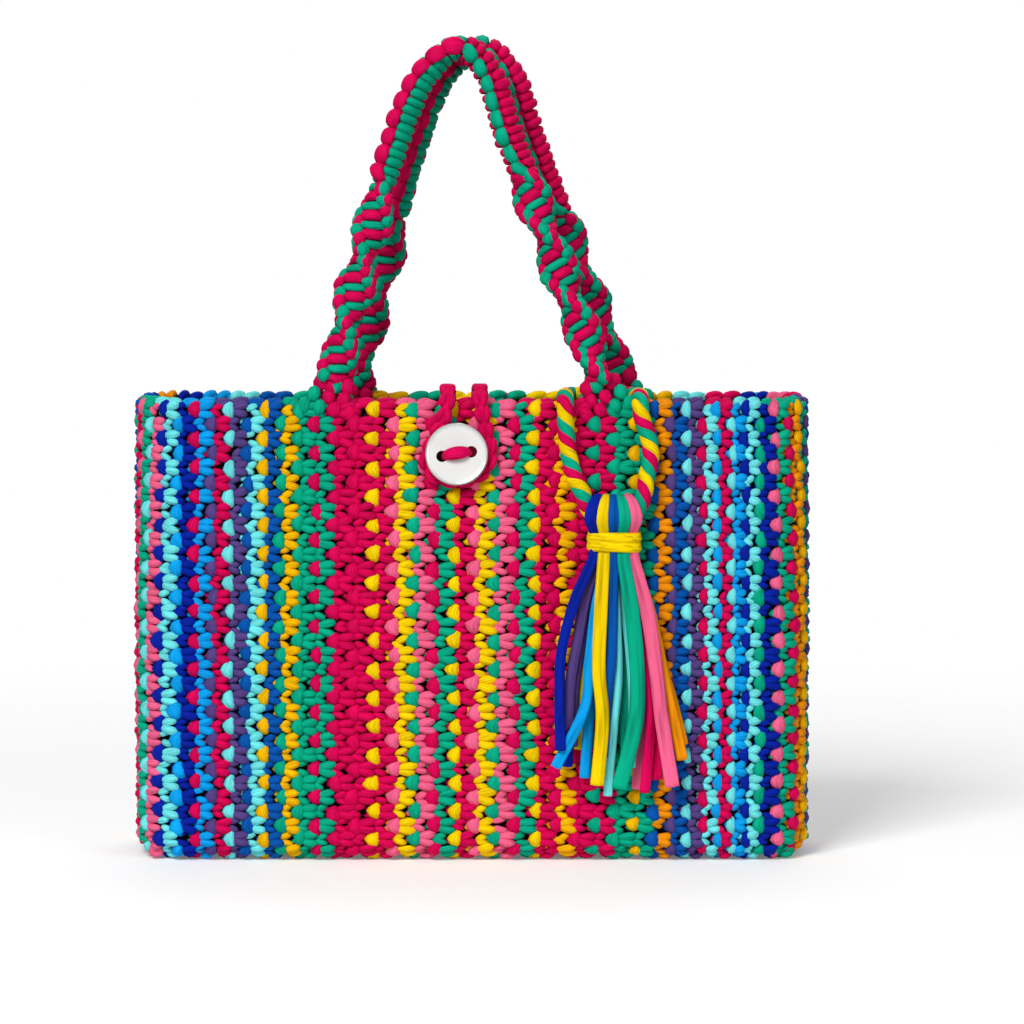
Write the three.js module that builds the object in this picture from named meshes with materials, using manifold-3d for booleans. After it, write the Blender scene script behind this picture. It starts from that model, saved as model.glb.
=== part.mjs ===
// Macrame tote bag knotted from jersey yarn: an open-topped bag, two knotted handles that
// spiral up from the rim, a button with its closing loop, and a tassel hung round one foot
// of the front handle.
// Millimetres. +Z is up, X runs across the bag and the front faces -Y.
// The origin lies under the middle of the base.

import * as THREE from 'three';
import { mergeVertices } from 'three/addons/utils/BufferGeometryUtils.js';
import loadManifold from 'manifold-3d';

// Bag body
const BAG_WIDTH = 386;
const BAG_HEIGHT = 266;
const BASE_DEPTH = 100;
const MOUTH_DEPTH = 70;
const FULL_DEPTH_HEIGHT = 110; // above this the two faces lean in to the mouth
const WALL = 9;
const CORNER_RADIUS = 28;
const BASE_EDGE = 12;
const RIM_EDGE = 3;
const FACE_CROWN = 4;

// Clearances between pieces that touch
const TOUCH = 0.3;
const ROPE_SEAT_CLEARANCE = 0.6;
const WRAP_CLEARANCE = 0.7;
const TAPE_CLEARANCE = 0.5;

// Handles
const FRONT_HANDLE_X = -3; // middle between the feet of the front handle
const BACK_HANDLE_X = 9;
const FOOT_SPREAD = 157;
const HANDLE_RISE = 202; // rim to the middle of the grip
const GRIP_Y = 10.4; // how far each grip hangs from the middle of the bag
const FOOT_WIDTH = 24;
const FOOT_FLARE = 16; // height over which a foot narrows to the leg
const LEG_WIDTH = 24;
const LEG_DEPTH = 14.5;
const GRIP_WIDTH = 20;
const GRIP_DEPTH = 14;
const FRONT_SPIRALS = [134, 141]; // length of the left and the right leg's spiral
const BACK_SPIRALS = [114, 118];
const HALF_TURN = 41;
const GRIP_ROLLS = [Math.PI / 4, Math.PI / 2]; // how the grip is turned left and right of its top
const HANDLE_SIDES = 10;
const LEG_STEP = 4.4;
const GRIP_STEP = 9;

// The handle's line, as shares of its spread from the middle and of its rise
const HANDLE_LINE = [
  [-0.5, 0], [-0.43, 0.25], [-0.345, 0.5], [-0.255, 0.745], [-0.155, 0.92], [-0.025, 1],
  [0.075, 0.93], [0.155, 0.75], [0.265, 0.52], [0.365, 0.31], [0.45, 0.14], [0.5, 0],
];

// Button and its tape
const BUTTON_X = -8.8;
const BUTTON_DROP = 32.6; // rim to the middle of the button
const BUTTON_RADIUS = 18;
const BUTTON_THICKNESS = 4.2;
const BUTTON_RIM = 2.4;
const BUTTON_DISH = 0.9;
const BUTTON_EDGE = 1;
const BUTTON_ROLL = -0.154; // the line of the holes rises to the right
const HOLE_SPACING = 17;
const TAPE_WIDTH = 5.6;
const TAPE_THICKNESS = 2.8;

// Closing loop
const LOOP_DIAMETER = 8;
const LOOP_STEPS = 60;

// Tassel rope, which seats in two dips of the rim on either side of a handle foot
const ROPE_DIAMETER = 10.4;
const ROPE_STEPS = 68;
const ROPE_HALF_SPAN = 21.5;
const ROPE_BEHIND_RIM = 20.5; // front of the rim to the rope's run behind the foot
const ROPE_LIFT = 1; // rope's middle above the rim
const ROPE_TURN = 13.5;
const ROPE_OVER_RIM = 13; // bend over the rim
const ROPE_BEND = 15; // bend in the tassel's head
const ROPE_BEND_FLAT = 3; // half of the level run between its two quarters
const CORD_ARC_STEPS = 5; // sides of a cord in each half turn

// Tassel
const TASSEL_X = 79;
const BEND_DROP = 66.5; // rim to the rope's lowest point, in the tassel's head
const HEAD_CLEARANCE = 0.2; // back of the head to the bag's face
const NECK = 7; // underside of the rope's bend to the wrap
const WRAP_HEIGHT = 10;
const WRAP_THICKNESS = 1.5;
const WRAP_CORNER = 4.2;
const STRAND_WIDTH = 6.8;
const STRAND_THICKNESS = 3.6;
const BOUND_THICKNESS = 3; // strands are pressed flat where they are folded and bound
const LAYER_PITCH = 4.2; // between the layers of hanging ends
const STRAND_SIDES = 8;

const COLOURS = {
  crimson: 0xc90c52, green: 0x119c78, yellow: 0xf8c200, navy: 0x0c2399, purple: 0x54407e,
  blue: 0x0f66b8, sky: 0x12a0e6, aqua: 0x7ae3df, pink: 0xf7668d, orange: 0xf59a08,
};

const wasm = await loadManifold();
wasm.setup();

const { clamp, lerp, smoothstep } = THREE.MathUtils;
const X_AXIS = new THREE.Vector3(1, 0, 0);
const Y_AXIS = new THREE.Vector3(0, 1, 0);
const Z_AXIS = new THREE.Vector3(0, 0, 1);

// Geometry helpers

function signedVolume(position, index) {
  const a = new THREE.Vector3();
  const b = new THREE.Vector3();
  const c = new THREE.Vector3();
  let volume = 0;
  for (let i = 0; i < index.length; i += 3) {
    a.fromBufferAttribute(position, index[i]);
    b.fromBufferAttribute(position, index[i + 1]);
    c.fromBufferAttribute(position, index[i + 2]);
    volume += a.dot(b.cross(c)) / 6;
  }
  return volume;
}

// Shares vertices, drops collapsed triangles and turns the faces outwards
function closedBody(geometry) {
  const bare = geometry.clone();
  bare.deleteAttribute('normal');
  bare.deleteAttribute('uv');
  const merged = mergeVertices(bare, 1e-4);
  const index = [];
  for (let i = 0; i < merged.index.count; i += 3) {
    const [a, b, c] = [0, 1, 2].map((k) => merged.index.getX(i + k));
    if (a !== b && b !== c && c !== a) index.push(a, b, c);
  }
  if (signedVolume(merged.attributes.position, index) < 0) index.reverse();
  merged.setIndex(index);
  merged.computeVertexNormals();
  return merged;
}

function toSolid(geometry) {
  const body = closedBody(geometry);
  return new wasm.Manifold(new wasm.Mesh({
    numProp: 3,
    vertProperties: new Float32Array(body.attributes.position.array),
    triVerts: new Uint32Array(body.index.array),
  }));
}

function fromSolid(solid) {
  const mesh = solid.getMesh();
  const geometry = new THREE.BufferGeometry();
  geometry.setAttribute('position', new THREE.BufferAttribute(mesh.vertProperties, 3));
  geometry.setIndex(new THREE.BufferAttribute(mesh.triVerts, 1));
  geometry.computeVertexNormals();
  return geometry;
}

// A skin through rings of equally many points, closed at both ends
function loft(rings) {
  const sides = rings[0].length;
  const middles = [rings[0], rings[rings.length - 1]].map((ring) => (
    ring.reduce((sum, p) => sum.add(p), new THREE.Vector3()).divideScalar(sides)
  ));
  const points = [...rings.flat(), ...middles];
  const first = rings.length * sides;
  const index = [];
  for (let k = 0; k < sides; k++) {
    const next = (k + 1) % sides;
    index.push(first, next, k);
    for (let r = 0; r + 1 < rings.length; r++) {
      const low = r * sides;
      const high = low + sides;
      index.push(low + k, low + next, high + k, low + next, high + next, high + k);
    }
    const end = (rings.length - 1) * sides;
    index.push(first + 1, end + k, end + next);
  }
  const geometry = new THREE.BufferGeometry().setFromPoints(points);
  geometry.setIndex(index);
  return closedBody(geometry);
}

// An oval ring of points: width along one axis and depth along the other
function oval(middle, widthAxis, depthAxis, width, depth, sides) {
  return Array.from({ length: sides }, (_, k) => {
    const angle = (2 * Math.PI * k) / sides;
    return middle.clone()
      .addScaledVector(widthAxis, (width / 2) * Math.cos(angle))
      .addScaledVector(depthAxis, (depth / 2) * Math.sin(angle));
  });
}

// The part of an axis that is square to a direction
function squareTo(axis, direction) {
  return axis.clone().addScaledVector(direction, -axis.dot(direction)).normalize();
}

function roundTube(points, diameter, steps) {
  const section = new THREE.Shape();
  section.absarc(0, 0, diameter / 2, 0, 2 * Math.PI);
  return closedBody(new THREE.ExtrudeGeometry(section, {
    curveSegments: CORD_ARC_STEPS,
    steps,
    extrudePath: new THREE.CatmullRomCurve3(points),
  }));
}

function piece(name, geometry, colour, roughness = 0.85, metalness = 0) {
  const material = new THREE.MeshStandardMaterial({ color: colour, roughness, metalness });
  const mesh = new THREE.Mesh(geometry, material);
  mesh.name = name;
  return mesh;
}

// Bag body

function halfDepth(z) {
  const lean = smoothstep(z, FULL_DEPTH_HEIGHT, BAG_HEIGHT + FULL_DEPTH_HEIGHT / 2);
  const atRim = smoothstep(BAG_HEIGHT, FULL_DEPTH_HEIGHT, BAG_HEIGHT + FULL_DEPTH_HEIGHT / 2);
  return lerp(BASE_DEPTH, MOUTH_DEPTH, lean / atRim) / 2;
}

function crownAt(z) {
  return FACE_CROWN * Math.sin((Math.PI * clamp(z, 0, BAG_HEIGHT)) / BAG_HEIGHT);
}

// How far out the front face lies at a place on it
function faceY(x, z) {
  const share = x / (BAG_WIDTH / 2);
  return -(halfDepth(z) + crownAt(z) * (1 - share * share));
}

function onFace(x, off, z) {
  return new THREE.Vector3(x, faceY(x, z) - off, z);
}

// One level of the bag: a rounded rectangle with crowned long sides
function bagRing(z, inset) {
  const cornerSteps = 5;
  const sideSteps = [10, 2, 10, 2];
  const halfWidth = BAG_WIDTH / 2 - inset;
  const depth = halfDepth(z) - inset;
  const radius = Math.max(CORNER_RADIUS - inset, 4);
  const corners = [[1, 1], [-1, 1], [-1, -1], [1, -1]];
  const flat = [];
  corners.forEach(([sx, sy], c) => {
    for (let i = 0; i <= cornerSteps; i++) {
      const angle = (c + i / cornerSteps) * (Math.PI / 2);
      flat.push(new THREE.Vector2(
        sx * (halfWidth - radius) + radius * Math.cos(angle),
        sy * (depth - radius) + radius * Math.sin(angle),
      ));
    }
    const from = flat[flat.length - 1];
    const [nx, ny] = corners[(c + 1) % 4];
    const start = (c + 1) * (Math.PI / 2);
    const to = new THREE.Vector2(
      nx * (halfWidth - radius) + radius * Math.cos(start),
      ny * (depth - radius) + radius * Math.sin(start),
    );
    for (let i = 1; i < sideSteps[c]; i++) {
      flat.push(from.clone().lerp(to, i / sideSteps[c]));
    }
  });
  return flat.map((p) => {
    const share = p.x / (BAG_WIDTH / 2);
    const crown = (crownAt(z) * (1 - share * share) * p.y) / depth;
    return new THREE.Vector3(p.x, p.y + crown, z);
  });
}

function bagBody(seats) {
  const sideLevels = [0.16, 0.36, 0.56, 0.74, 0.88].map((share) => share * BAG_HEIGHT);
  const edge = (steps, radius) => Array.from({ length: steps + 1 }, (_, i) => {
    const angle = (i / steps) * (Math.PI / 2);
    return [radius * (1 - Math.sin(angle)), radius * (1 - Math.cos(angle))];
  });
  const foot = edge(3, BASE_EDGE).map(([inset, z]) => [z, inset]);
  const outerRim = edge(2, RIM_EDGE).reverse().map(([inset, z]) => [BAG_HEIGHT - z, inset]);
  const innerRim = edge(2, RIM_EDGE).map(([inset, z]) => [BAG_HEIGHT - z, WALL - inset]);
  const outside = [...foot, ...sideLevels.map((z) => [z, 0]), ...outerRim];
  const inside = [...innerRim, ...sideLevels.toReversed().map((z) => [z, WALL]), [WALL, WALL]];
  const shell = toSolid(loft([...outside, ...inside].map(([z, inset]) => bagRing(z, inset))));
  return fromSolid(seats.reduce((solid, seat) => solid.subtract(toSolid(seat)), shell));
}

// Handles

const FOOT_Y = MOUTH_DEPTH / 2 - WALL / 2;

// How far the handle is turned about its line at a way along it from its left foot
function handleRoll(s, length, [left, right]) {
  const overTop = smoothstep(s, 0.42 * length, 0.58 * length);
  const spiral = Math.max(left - s, 0) - Math.max(s - (length - right), 0);
  return lerp(GRIP_ROLLS[0], GRIP_ROLLS[1], overTop) + (Math.PI * spiral) / HALF_TURN;
}

function handle(middleX, side, spirals) {
  const curve = new THREE.CatmullRomCurve3(HANDLE_LINE.map(([across, up]) => new THREE.Vector3(
    middleX + across * FOOT_SPREAD,
    side * lerp(FOOT_Y, GRIP_Y, smoothstep(up, 0, 1)),
    BAG_HEIGHT + TOUCH + up * (HANDLE_RISE - TOUCH),
  )));
  const length = curve.getLength();
  const spiralAt = (s) => (s < length / 2 ? spirals[0] : spirals[1]);
  const stations = [];
  for (let s = 0; s < length - GRIP_STEP / 2;) {
    stations.push(s);
    s += Math.min(s, length - s) < spiralAt(s) ? LEG_STEP : GRIP_STEP;
  }
  stations.push(length);
  return loft(stations.map((s) => {
    const up = Math.min(s, length - s);
    const square = smoothstep(up, 0, FOOT_FLARE);
    const aboveFoot = s < length / 2 ? FOOT_FLARE : length - FOOT_FLARE;
    const flat = Math.PI * Math.round(handleRoll(aboveFoot, length, spirals) / Math.PI);
    const turn = lerp(flat, handleRoll(s, length, spirals), square);
    const direction = curve.getTangentAt(s / length);
    const upright = direction.z < 0 ? Z_AXIS.clone().negate() : Z_AXIS.clone();
    direction.lerpVectors(upright, direction.clone(), square).normalize();
    const depthAxis = squareTo(Y_AXIS, direction).applyAxisAngle(direction, turn);
    const widthAxis = depthAxis.clone().cross(direction);
    const grip = smoothstep(up, spiralAt(s) - HALF_TURN, spiralAt(s));
    const legWidth = lerp(FOOT_WIDTH, LEG_WIDTH, square);
    const legDepth = lerp(WALL, LEG_DEPTH, square);
    return oval(
      curve.getPointAt(s / length), widthAxis, depthAxis,
      lerp(legWidth, GRIP_WIDTH, grip), lerp(legDepth, GRIP_DEPTH, grip), HANDLE_SIDES,
    );
  }));
}

// Button, lying on the closing loop, and the tape that ties it to the bag

const BUTTON_Z = BAG_HEIGHT - BUTTON_DROP;
const BUTTON_OFF = LOOP_DIAMETER + 5 * TOUCH;

function buttonDisc() {
  const back = -BUTTON_OFF;
  const front = back - BUTTON_THICKNESS;
  const profile = [
    [0, back], [BUTTON_RADIUS - BUTTON_EDGE, back], [BUTTON_RADIUS, back - BUTTON_EDGE],
    [BUTTON_RADIUS, front + BUTTON_EDGE], [BUTTON_RADIUS - BUTTON_EDGE, front],
    [BUTTON_RADIUS - BUTTON_RIM, front],
    [BUTTON_RADIUS - BUTTON_RIM - BUTTON_DISH, front + BUTTON_DISH], [0, front + BUTTON_DISH],
  ].map(([r, y]) => new THREE.Vector2(r, y));
  const disc = toSolid(new THREE.LatheGeometry(profile, 36));
  const holeRadius = TAPE_WIDTH / 2 + TAPE_CLEARANCE;
  const holes = [-1, 1].map((side) => {
    const hole = new THREE.CylinderGeometry(holeRadius, holeRadius, 4 * BUTTON_THICKNESS, 16);
    hole.translate((side * HOLE_SPACING) / 2, (back + front) / 2, 0);
    return toSolid(hole);
  });
  return fromSolid(holes.reduce((solid, hole) => solid.subtract(hole), disc));
}

function buttonTape() {
  const half = HOLE_SPACING / 2;
  const front = -BUTTON_OFF - BUTTON_THICKNESS - TOUCH - TAPE_THICKNESS / 2;
  const bend = TAPE_THICKNESS;
  const end = -2 * TOUCH;
  const line = [
    [-half, end], [-half, front / 2], [-half, front + bend],
    [-half + bend, front], [0, front], [half - bend, front],
    [half, front + bend], [half, front / 2], [half, end],
  ];
  const curve = new THREE.CatmullRomCurve3(line.map(([x, y]) => new THREE.Vector3(x, y, 0)));
  const steps = 26;
  return loft(Array.from({ length: steps + 1 }, (_, i) => {
    const direction = curve.getTangentAt(i / steps);
    const widthAxis = Z_AXIS.clone();
    const depthAxis = direction.clone().cross(widthAxis);
    return oval(
      curve.getPointAt(i / steps), widthAxis, depthAxis, TAPE_WIDTH, TAPE_THICKNESS, STRAND_SIDES,
    );
  }));
}

// Closing loop: from the back wall over the mouth and the front rim, round behind the button

function closingLoop() {
  const back = MOUTH_DEPTH / 2 - WALL;
  const front = MOUTH_DEPTH / 2;
  const radius = LOOP_DIAMETER / 2;
  const rim = BAG_HEIGHT;
  const overRim = radius + TOUCH;
  const onWall = radius + TOUCH;
  const acrossMouth = (x) => [
    new THREE.Vector3(x, back - TOUCH - 0.6, rim - 5),
    new THREE.Vector3(x, back - 12, rim - 5.4),
    new THREE.Vector3(x, 0, rim - 3),
    new THREE.Vector3(x, WALL - front + 7, rim + overRim - 2.6),
    new THREE.Vector3(x, WALL - front - 2.5, rim + overRim + 0.5),
    new THREE.Vector3(x, -front - 0.5, rim + overRim - 0.6),
    new THREE.Vector3(x, -front - 6.6, rim - 1),
  ];
  const down = (x, off, drop) => onFace(x, onWall + off, rim - drop);
  return roundTube([
    ...acrossMouth(-14),
    down(-16.5, 2.2, 11), down(-20, 0.6, 20), down(-24, 0.3, 28), down(-26, 0.3, 35),
    down(-22.5, 0.3, 42.5), down(-15.5, 0.3, 45.6), down(-8, 0.3, 46), down(0, 0.3, 45),
    down(7.4, 0.3, 40), down(10.2, 0.3, 31), down(8.8, 0.6, 21), down(6.4, 2.2, 11),
    ...acrossMouth(4.5).reverse(),
  ], LOOP_DIAMETER, LOOP_STEPS);
}

// Tassel rope: one loop that starts and ends behind the handle's foot

const ROPE_RADIUS = ROPE_DIAMETER / 2;
const ROPE_X = FRONT_HANDLE_X + FOOT_SPREAD / 2 - 0.5;
const ROPE_Y = ROPE_BEHIND_RIM - MOUTH_DEPTH / 2;
const ROPE_Z = BAG_HEIGHT + ROPE_LIFT;

// The strands fold over the rope's bend in two sets, one over the other, clear of the bag's face
const BEND_Z = BAG_HEIGHT - BEND_DROP;
const FOLD_INNER = ROPE_RADIUS + 3 * TOUCH + BOUND_THICKNESS / 2;
const FOLD_OUTER = FOLD_INNER + BOUND_THICKNESS + TOUCH;
const BEND_OFF = FOLD_OUTER + BOUND_THICKNESS / 2 + HEAD_CLEARANCE;

function ropeSeats() {
  const radius = ROPE_RADIUS + ROPE_SEAT_CLEARANCE;
  return [-1, 1].map((side) => {
    const seat = new THREE.CylinderGeometry(radius, radius, 2 * WALL, 24);
    seat.translate(ROPE_X + side * ROPE_HALF_SPAN, WALL / 2 - MOUTH_DEPTH / 2, ROPE_Z);
    return seat;
  });
}

// From behind the foot, over the rim and down the front to the bend in the tassel's head
function ropeHalf(side, leg) {
  const x = ROPE_X + side * ROPE_HALF_SPAN;
  const corner = Math.SQRT1_2;
  const turnX = x - side * ROPE_TURN;
  const turnY = ROPE_Y - ROPE_TURN;
  const overY = -MOUTH_DEPTH / 2;
  const overZ = ROPE_Z - ROPE_OVER_RIM;
  const bendX = TASSEL_X + side * ROPE_BEND_FLAT;
  const bendTop = BEND_Z + ROPE_BEND;
  return [
    new THREE.Vector3(ROPE_X + side * TOUCH, ROPE_Y, ROPE_Z),
    new THREE.Vector3(turnX, ROPE_Y, ROPE_Z),
    new THREE.Vector3(turnX + side * ROPE_TURN * corner, turnY + ROPE_TURN * corner, ROPE_Z),
    new THREE.Vector3(x, turnY, ROPE_Z),
    new THREE.Vector3(x, overY, ROPE_Z),
    new THREE.Vector3(x, overY - ROPE_OVER_RIM * corner, overZ + ROPE_OVER_RIM * corner),
    ...leg.map(([legX, off, drop]) => onFace(legX, off, BAG_HEIGHT - drop)),
    onFace(bendX + side * ROPE_BEND, BEND_OFF, bendTop),
    onFace(bendX + side * ROPE_BEND * corner, BEND_OFF, bendTop - ROPE_BEND * corner),
    onFace(bendX, BEND_OFF, BEND_Z),
  ];
}

function tasselRope() {
  const right = [[97.5, 9, 11], [101, 8.6, 21], [102.4, 8.6, 32], [100, 10, 43]];
  const left = [[53.6, 9, 11], [54.2, 8.6, 21], [55.6, 8.6, 32], [58.2, 10, 43]];
  return roundTube(
    [...ropeHalf(1, right), ...ropeHalf(-1, left).reverse()], ROPE_DIAMETER, ROPE_STEPS,
  );
}

// Tassel: strands folded over the rope's bend and bound below it by a wrap

const WRAP_TOP = BEND_Z - ROPE_RADIUS - NECK;
const BOUND_INNER = BOUND_THICKNESS / 2 + TOUCH;
const BOUND_OUTER = BOUND_INNER + BOUND_THICKNESS + 3 * TOUCH;

// Where a strand of the outer or inner set runs: pitch and width at the fold, the head and the wrap
const OUTER = {
  fold: FOLD_OUTER, bulk: 1.2, bound: BOUND_OUTER, pitch: [4.4, 6.4, 5.6], width: [4.1, 6, 5],
  cornerTuck: 0.85, frontLayer: 3, backLayer: 0,
};
const INNER = {
  fold: FOLD_INNER, bulk: 0, bound: BOUND_INNER, pitch: [3.6, 4.2, 3.7], width: [3.3, 3.9, 3.4],
  cornerTuck: 1, frontLayer: 2, backLayer: 1,
};

// Colour, and for the front and the back end its sideways place half-way down and at the tip, and
// how far it hangs below the wrap
const OUTER_STRANDS = [
  ['navy', [-28.4, -30, 111], [-21, -26, 122]],
  ['yellow', [-8.6, -8, 131], [-11, -14, 129]],
  ['blue', [0.4, -0.5, 113], [-1, -4, 125]],
  ['green', [13, 4.5, 133], [9, 12, 127]],
  ['pink', [25, 35.5, 131], [22, 24, 133]],
];
const INNER_STRANDS = [
  ['purple', [-21.5, -30, 93], [-17, -21, 119]],
  ['sky', [-11, -30, 121], [-8, -9, 124]],
  ['aqua', [4, -2.3, 137], [1, 8, 129]],
  ['crimson', [14.5, 17, 135], [11, 25.5, 128]],
  ['orange', [24.5, 39, 117], [21, 39, 111]],
];

// Below the wrap a strand fans out: how far down, and what share of its way aside and off the face
// it has made there
const FAN = { down: 0.2, aside: 0.4, off: 0.6, width: 5.2 };
const LOWER_BEND = 0.55; // share of the way from its middle to its tip

// How much higher the rope's upper side lies at a place beside the bend's middle
function ropeRise(aside) {
  const slope = Math.asin(Math.max(aside - ROPE_BEND_FLAT, 0) / ROPE_BEND);
  return ROPE_BEND * (1 - Math.cos(slope)) + ROPE_RADIUS * (1 / Math.cos(slope) - 1);
}

// A strand's own set of points: sideways, off the face, height, width and thickness
function strandLine(set, k, count, ends) {
  const place = k - (count - 1) / 2;
  const [foldU, headU, boundU] = set.pitch.map((pitch) => pitch * place);
  const edge = Math.abs(place) / ((count - 1) / 2);
  const bulk = set.bulk * (1 - edge * edge);
  const bound = edge === 1 ? set.cornerTuck * set.bound : set.bound;
  const arch = set.fold + bulk;
  const lift = ropeRise(Math.abs(foldU) + set.width[0] / 2);
  const corner = Math.SQRT1_2;
  const [foldW, headW, boundW] = set.width;
  const half = (sign, [midU, tipU, hangs], layer) => {
    const hang = STRAND_THICKNESS / 2 + 2 * TOUCH + layer * LAYER_PITCH;
    const low = WRAP_TOP - WRAP_HEIGHT;
    const tipZ = low - hangs;
    const midZ = low - hangs / 2;
    const fanU = lerp(boundU, midU, FAN.aside);
    const fanOff = lerp(BEND_OFF + sign * bound, hang, FAN.off);
    const lowerU = lerp(midU, tipU, LOWER_BEND);
    const lowerZ = lerp(midZ, tipZ, LOWER_BEND);
    return [
      [
        (foldU + headU) / 2, BEND_OFF + sign * arch * corner, BEND_Z + lift + arch * corner,
        (foldW + headW) / 2,
      ],
      [headU, BEND_OFF + sign * set.fold, BEND_Z + lift / 2, headW],
      [boundU, BEND_OFF + sign * bound, WRAP_TOP, boundW],
      [boundU, BEND_OFF + sign * bound, low, boundW],
      [fanU, fanOff, low - FAN.down * hangs, FAN.width],
      [midU, hang, midZ, STRAND_WIDTH],
      [lowerU, hang, lowerZ, STRAND_WIDTH],
      [tipU, hang, tipZ, STRAND_WIDTH],
    ].map((row, i) => [...row, i < boundRows ? BOUND_THICKNESS : STRAND_THICKNESS]);
  };
  const boundRows = 4; // from the fold to the wrap's lower edge
  const top = [foldU, BEND_OFF, BEND_Z + lift + arch, foldW, BOUND_THICKNESS];
  const [front, back] = ends;
  return [...half(1, front, set.frontLayer).reverse(), top, ...half(-1, back, set.backLayer)];
}

function strand(rows) {
  const curve = new THREE.CatmullRomCurve3(
    rows.map(([u, off, z]) => onFace(TASSEL_X + u, off, z)),
  );
  const spans = rows.length - 1;
  const stepsPerSpan = 2;
  const count = spans * stepsPerSpan;
  return loft(Array.from({ length: count + 1 }, (_, i) => {
    const t = i / count;
    const low = Math.min(Math.floor(i / stepsPerSpan), spans - 1);
    const share = i / stepsPerSpan - low;
    const width = lerp(rows[low][3], rows[low + 1][3], share);
    const thickness = lerp(rows[low][4], rows[low + 1][4], share);
    const direction = curve.getTangent(t);
    const widthAxis = squareTo(X_AXIS, direction);
    const depthAxis = direction.clone().cross(widthAxis);
    return oval(curve.getPoint(t), widthAxis, depthAxis, width, thickness, STRAND_SIDES);
  }));
}

function roundedOutline(path, halfWidth, halfDepthOf, radius) {
  const x = halfWidth - radius;
  const y = halfDepthOf - radius;
  path.absarc(x, y, radius, 0, Math.PI / 2);
  path.absarc(-x, y, radius, Math.PI / 2, Math.PI);
  path.absarc(-x, -y, radius, Math.PI, 1.5 * Math.PI);
  path.absarc(x, -y, radius, 1.5 * Math.PI, 2 * Math.PI);
  path.closePath();
  return path;
}

function tasselWrap() {
  const places = (OUTER_STRANDS.length - 1) / 2;
  const halfWidth = OUTER.pitch[2] * places + OUTER.width[2] / 2 + WRAP_CLEARANCE;
  const halfThick = BOUND_OUTER + BOUND_THICKNESS / 2 + WRAP_CLEARANCE;
  const band = roundedOutline(
    new THREE.Shape(), halfWidth + WRAP_THICKNESS, halfThick + WRAP_THICKNESS,
    WRAP_CORNER + WRAP_THICKNESS,
  );
  band.holes.push(roundedOutline(new THREE.Path(), halfWidth, halfThick, WRAP_CORNER));
  const geometry = new THREE.ExtrudeGeometry(band, {
    depth: WRAP_HEIGHT, bevelEnabled: false, curveSegments: 8,
  });
  geometry.translate(0, 0, -WRAP_HEIGHT / 2);
  return closedBody(geometry);
}

// How far the face leans back at a height, as a turn about X
function faceLean(x, z) {
  const span = 4;
  return -Math.atan((faceY(x, z + span) - faceY(x, z - span)) / (2 * span));
}

// Assembly

const bag = new THREE.Group();
bag.add(piece('bag_body', bagBody(ropeSeats()), COLOURS.crimson));
bag.add(piece('handle_front', handle(FRONT_HANDLE_X, -1, FRONT_SPIRALS), COLOURS.crimson));
bag.add(piece('handle_back', handle(BACK_HANDLE_X, 1, BACK_SPIRALS), COLOURS.crimson));
bag.add(piece('closing_loop', closingLoop(), COLOURS.crimson));

const button = new THREE.Group();
button.position.copy(onFace(BUTTON_X, 0, BUTTON_Z));
button.rotation.set(faceLean(BUTTON_X, BUTTON_Z), BUTTON_ROLL, 0);
button.add(piece('button', buttonDisc(), 0xf2f2ef, 0.3));
button.add(piece('button_tape', buttonTape(), COLOURS.crimson));
bag.add(button);

const tassel = new THREE.Group();
tassel.add(piece('tassel_rope', tasselRope(), COLOURS.yellow));
for (const [set, strands] of [[OUTER, OUTER_STRANDS], [INNER, INNER_STRANDS]]) {
  strands.forEach(([colour, ...ends], k) => {
    const line = strandLine(set, k, strands.length, ends);
    tassel.add(piece(`tassel_strand_${colour}`, strand(line), COLOURS[colour]));
  });
}
const wrap = piece('tassel_wrap', tasselWrap(), COLOURS.yellow);
const wrapZ = WRAP_TOP - WRAP_HEIGHT / 2;
wrap.position.copy(onFace(TASSEL_X, BEND_OFF, wrapZ));
wrap.rotation.set(faceLean(TASSEL_X, wrapZ), 0, 0);
tassel.add(wrap);
bag.add(tassel);

export default bag;
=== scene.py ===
# Looks of a macrame tote bag: the knots of its jersey yarn, its handles, button and tassel.
# Sizes are in millimetres, as in the CAD model, and become metres where a mesh is made.
import math
from collections import namedtuple

import bpy
import numpy as np
from mathutils import Matrix, Vector


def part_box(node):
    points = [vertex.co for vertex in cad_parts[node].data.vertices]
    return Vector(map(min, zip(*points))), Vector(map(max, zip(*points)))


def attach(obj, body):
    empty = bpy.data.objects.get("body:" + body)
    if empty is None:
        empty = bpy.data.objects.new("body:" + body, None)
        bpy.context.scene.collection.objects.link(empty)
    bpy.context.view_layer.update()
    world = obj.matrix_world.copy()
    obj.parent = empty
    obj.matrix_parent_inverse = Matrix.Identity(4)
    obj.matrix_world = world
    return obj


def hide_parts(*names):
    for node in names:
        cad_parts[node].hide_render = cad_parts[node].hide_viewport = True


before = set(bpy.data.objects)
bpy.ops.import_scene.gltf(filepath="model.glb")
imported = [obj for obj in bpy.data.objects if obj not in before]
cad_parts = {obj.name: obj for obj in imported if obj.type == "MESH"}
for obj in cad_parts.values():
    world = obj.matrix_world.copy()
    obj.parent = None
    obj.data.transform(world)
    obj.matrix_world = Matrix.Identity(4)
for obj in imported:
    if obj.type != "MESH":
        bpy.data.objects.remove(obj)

MM = 0.001
UV_PER_MM = 0.1
YARN_LENGTH = 400
DIAGONAL = math.sqrt(0.5)
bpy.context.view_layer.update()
rng = np.random.default_rng(11)

# Yarn colours, as sRGB
YARN = {
    "crimson": "de0056", "green": "00b08a", "yellow": "ffd800", "navy": "0222a2", "purple": "5a4488",
    "blue": "0256b0", "sky": "08a6f4", "aqua": "74eef0", "pink": "fc6894", "orange": "fa9a08",
    "amber": "ffc000",
}

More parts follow.
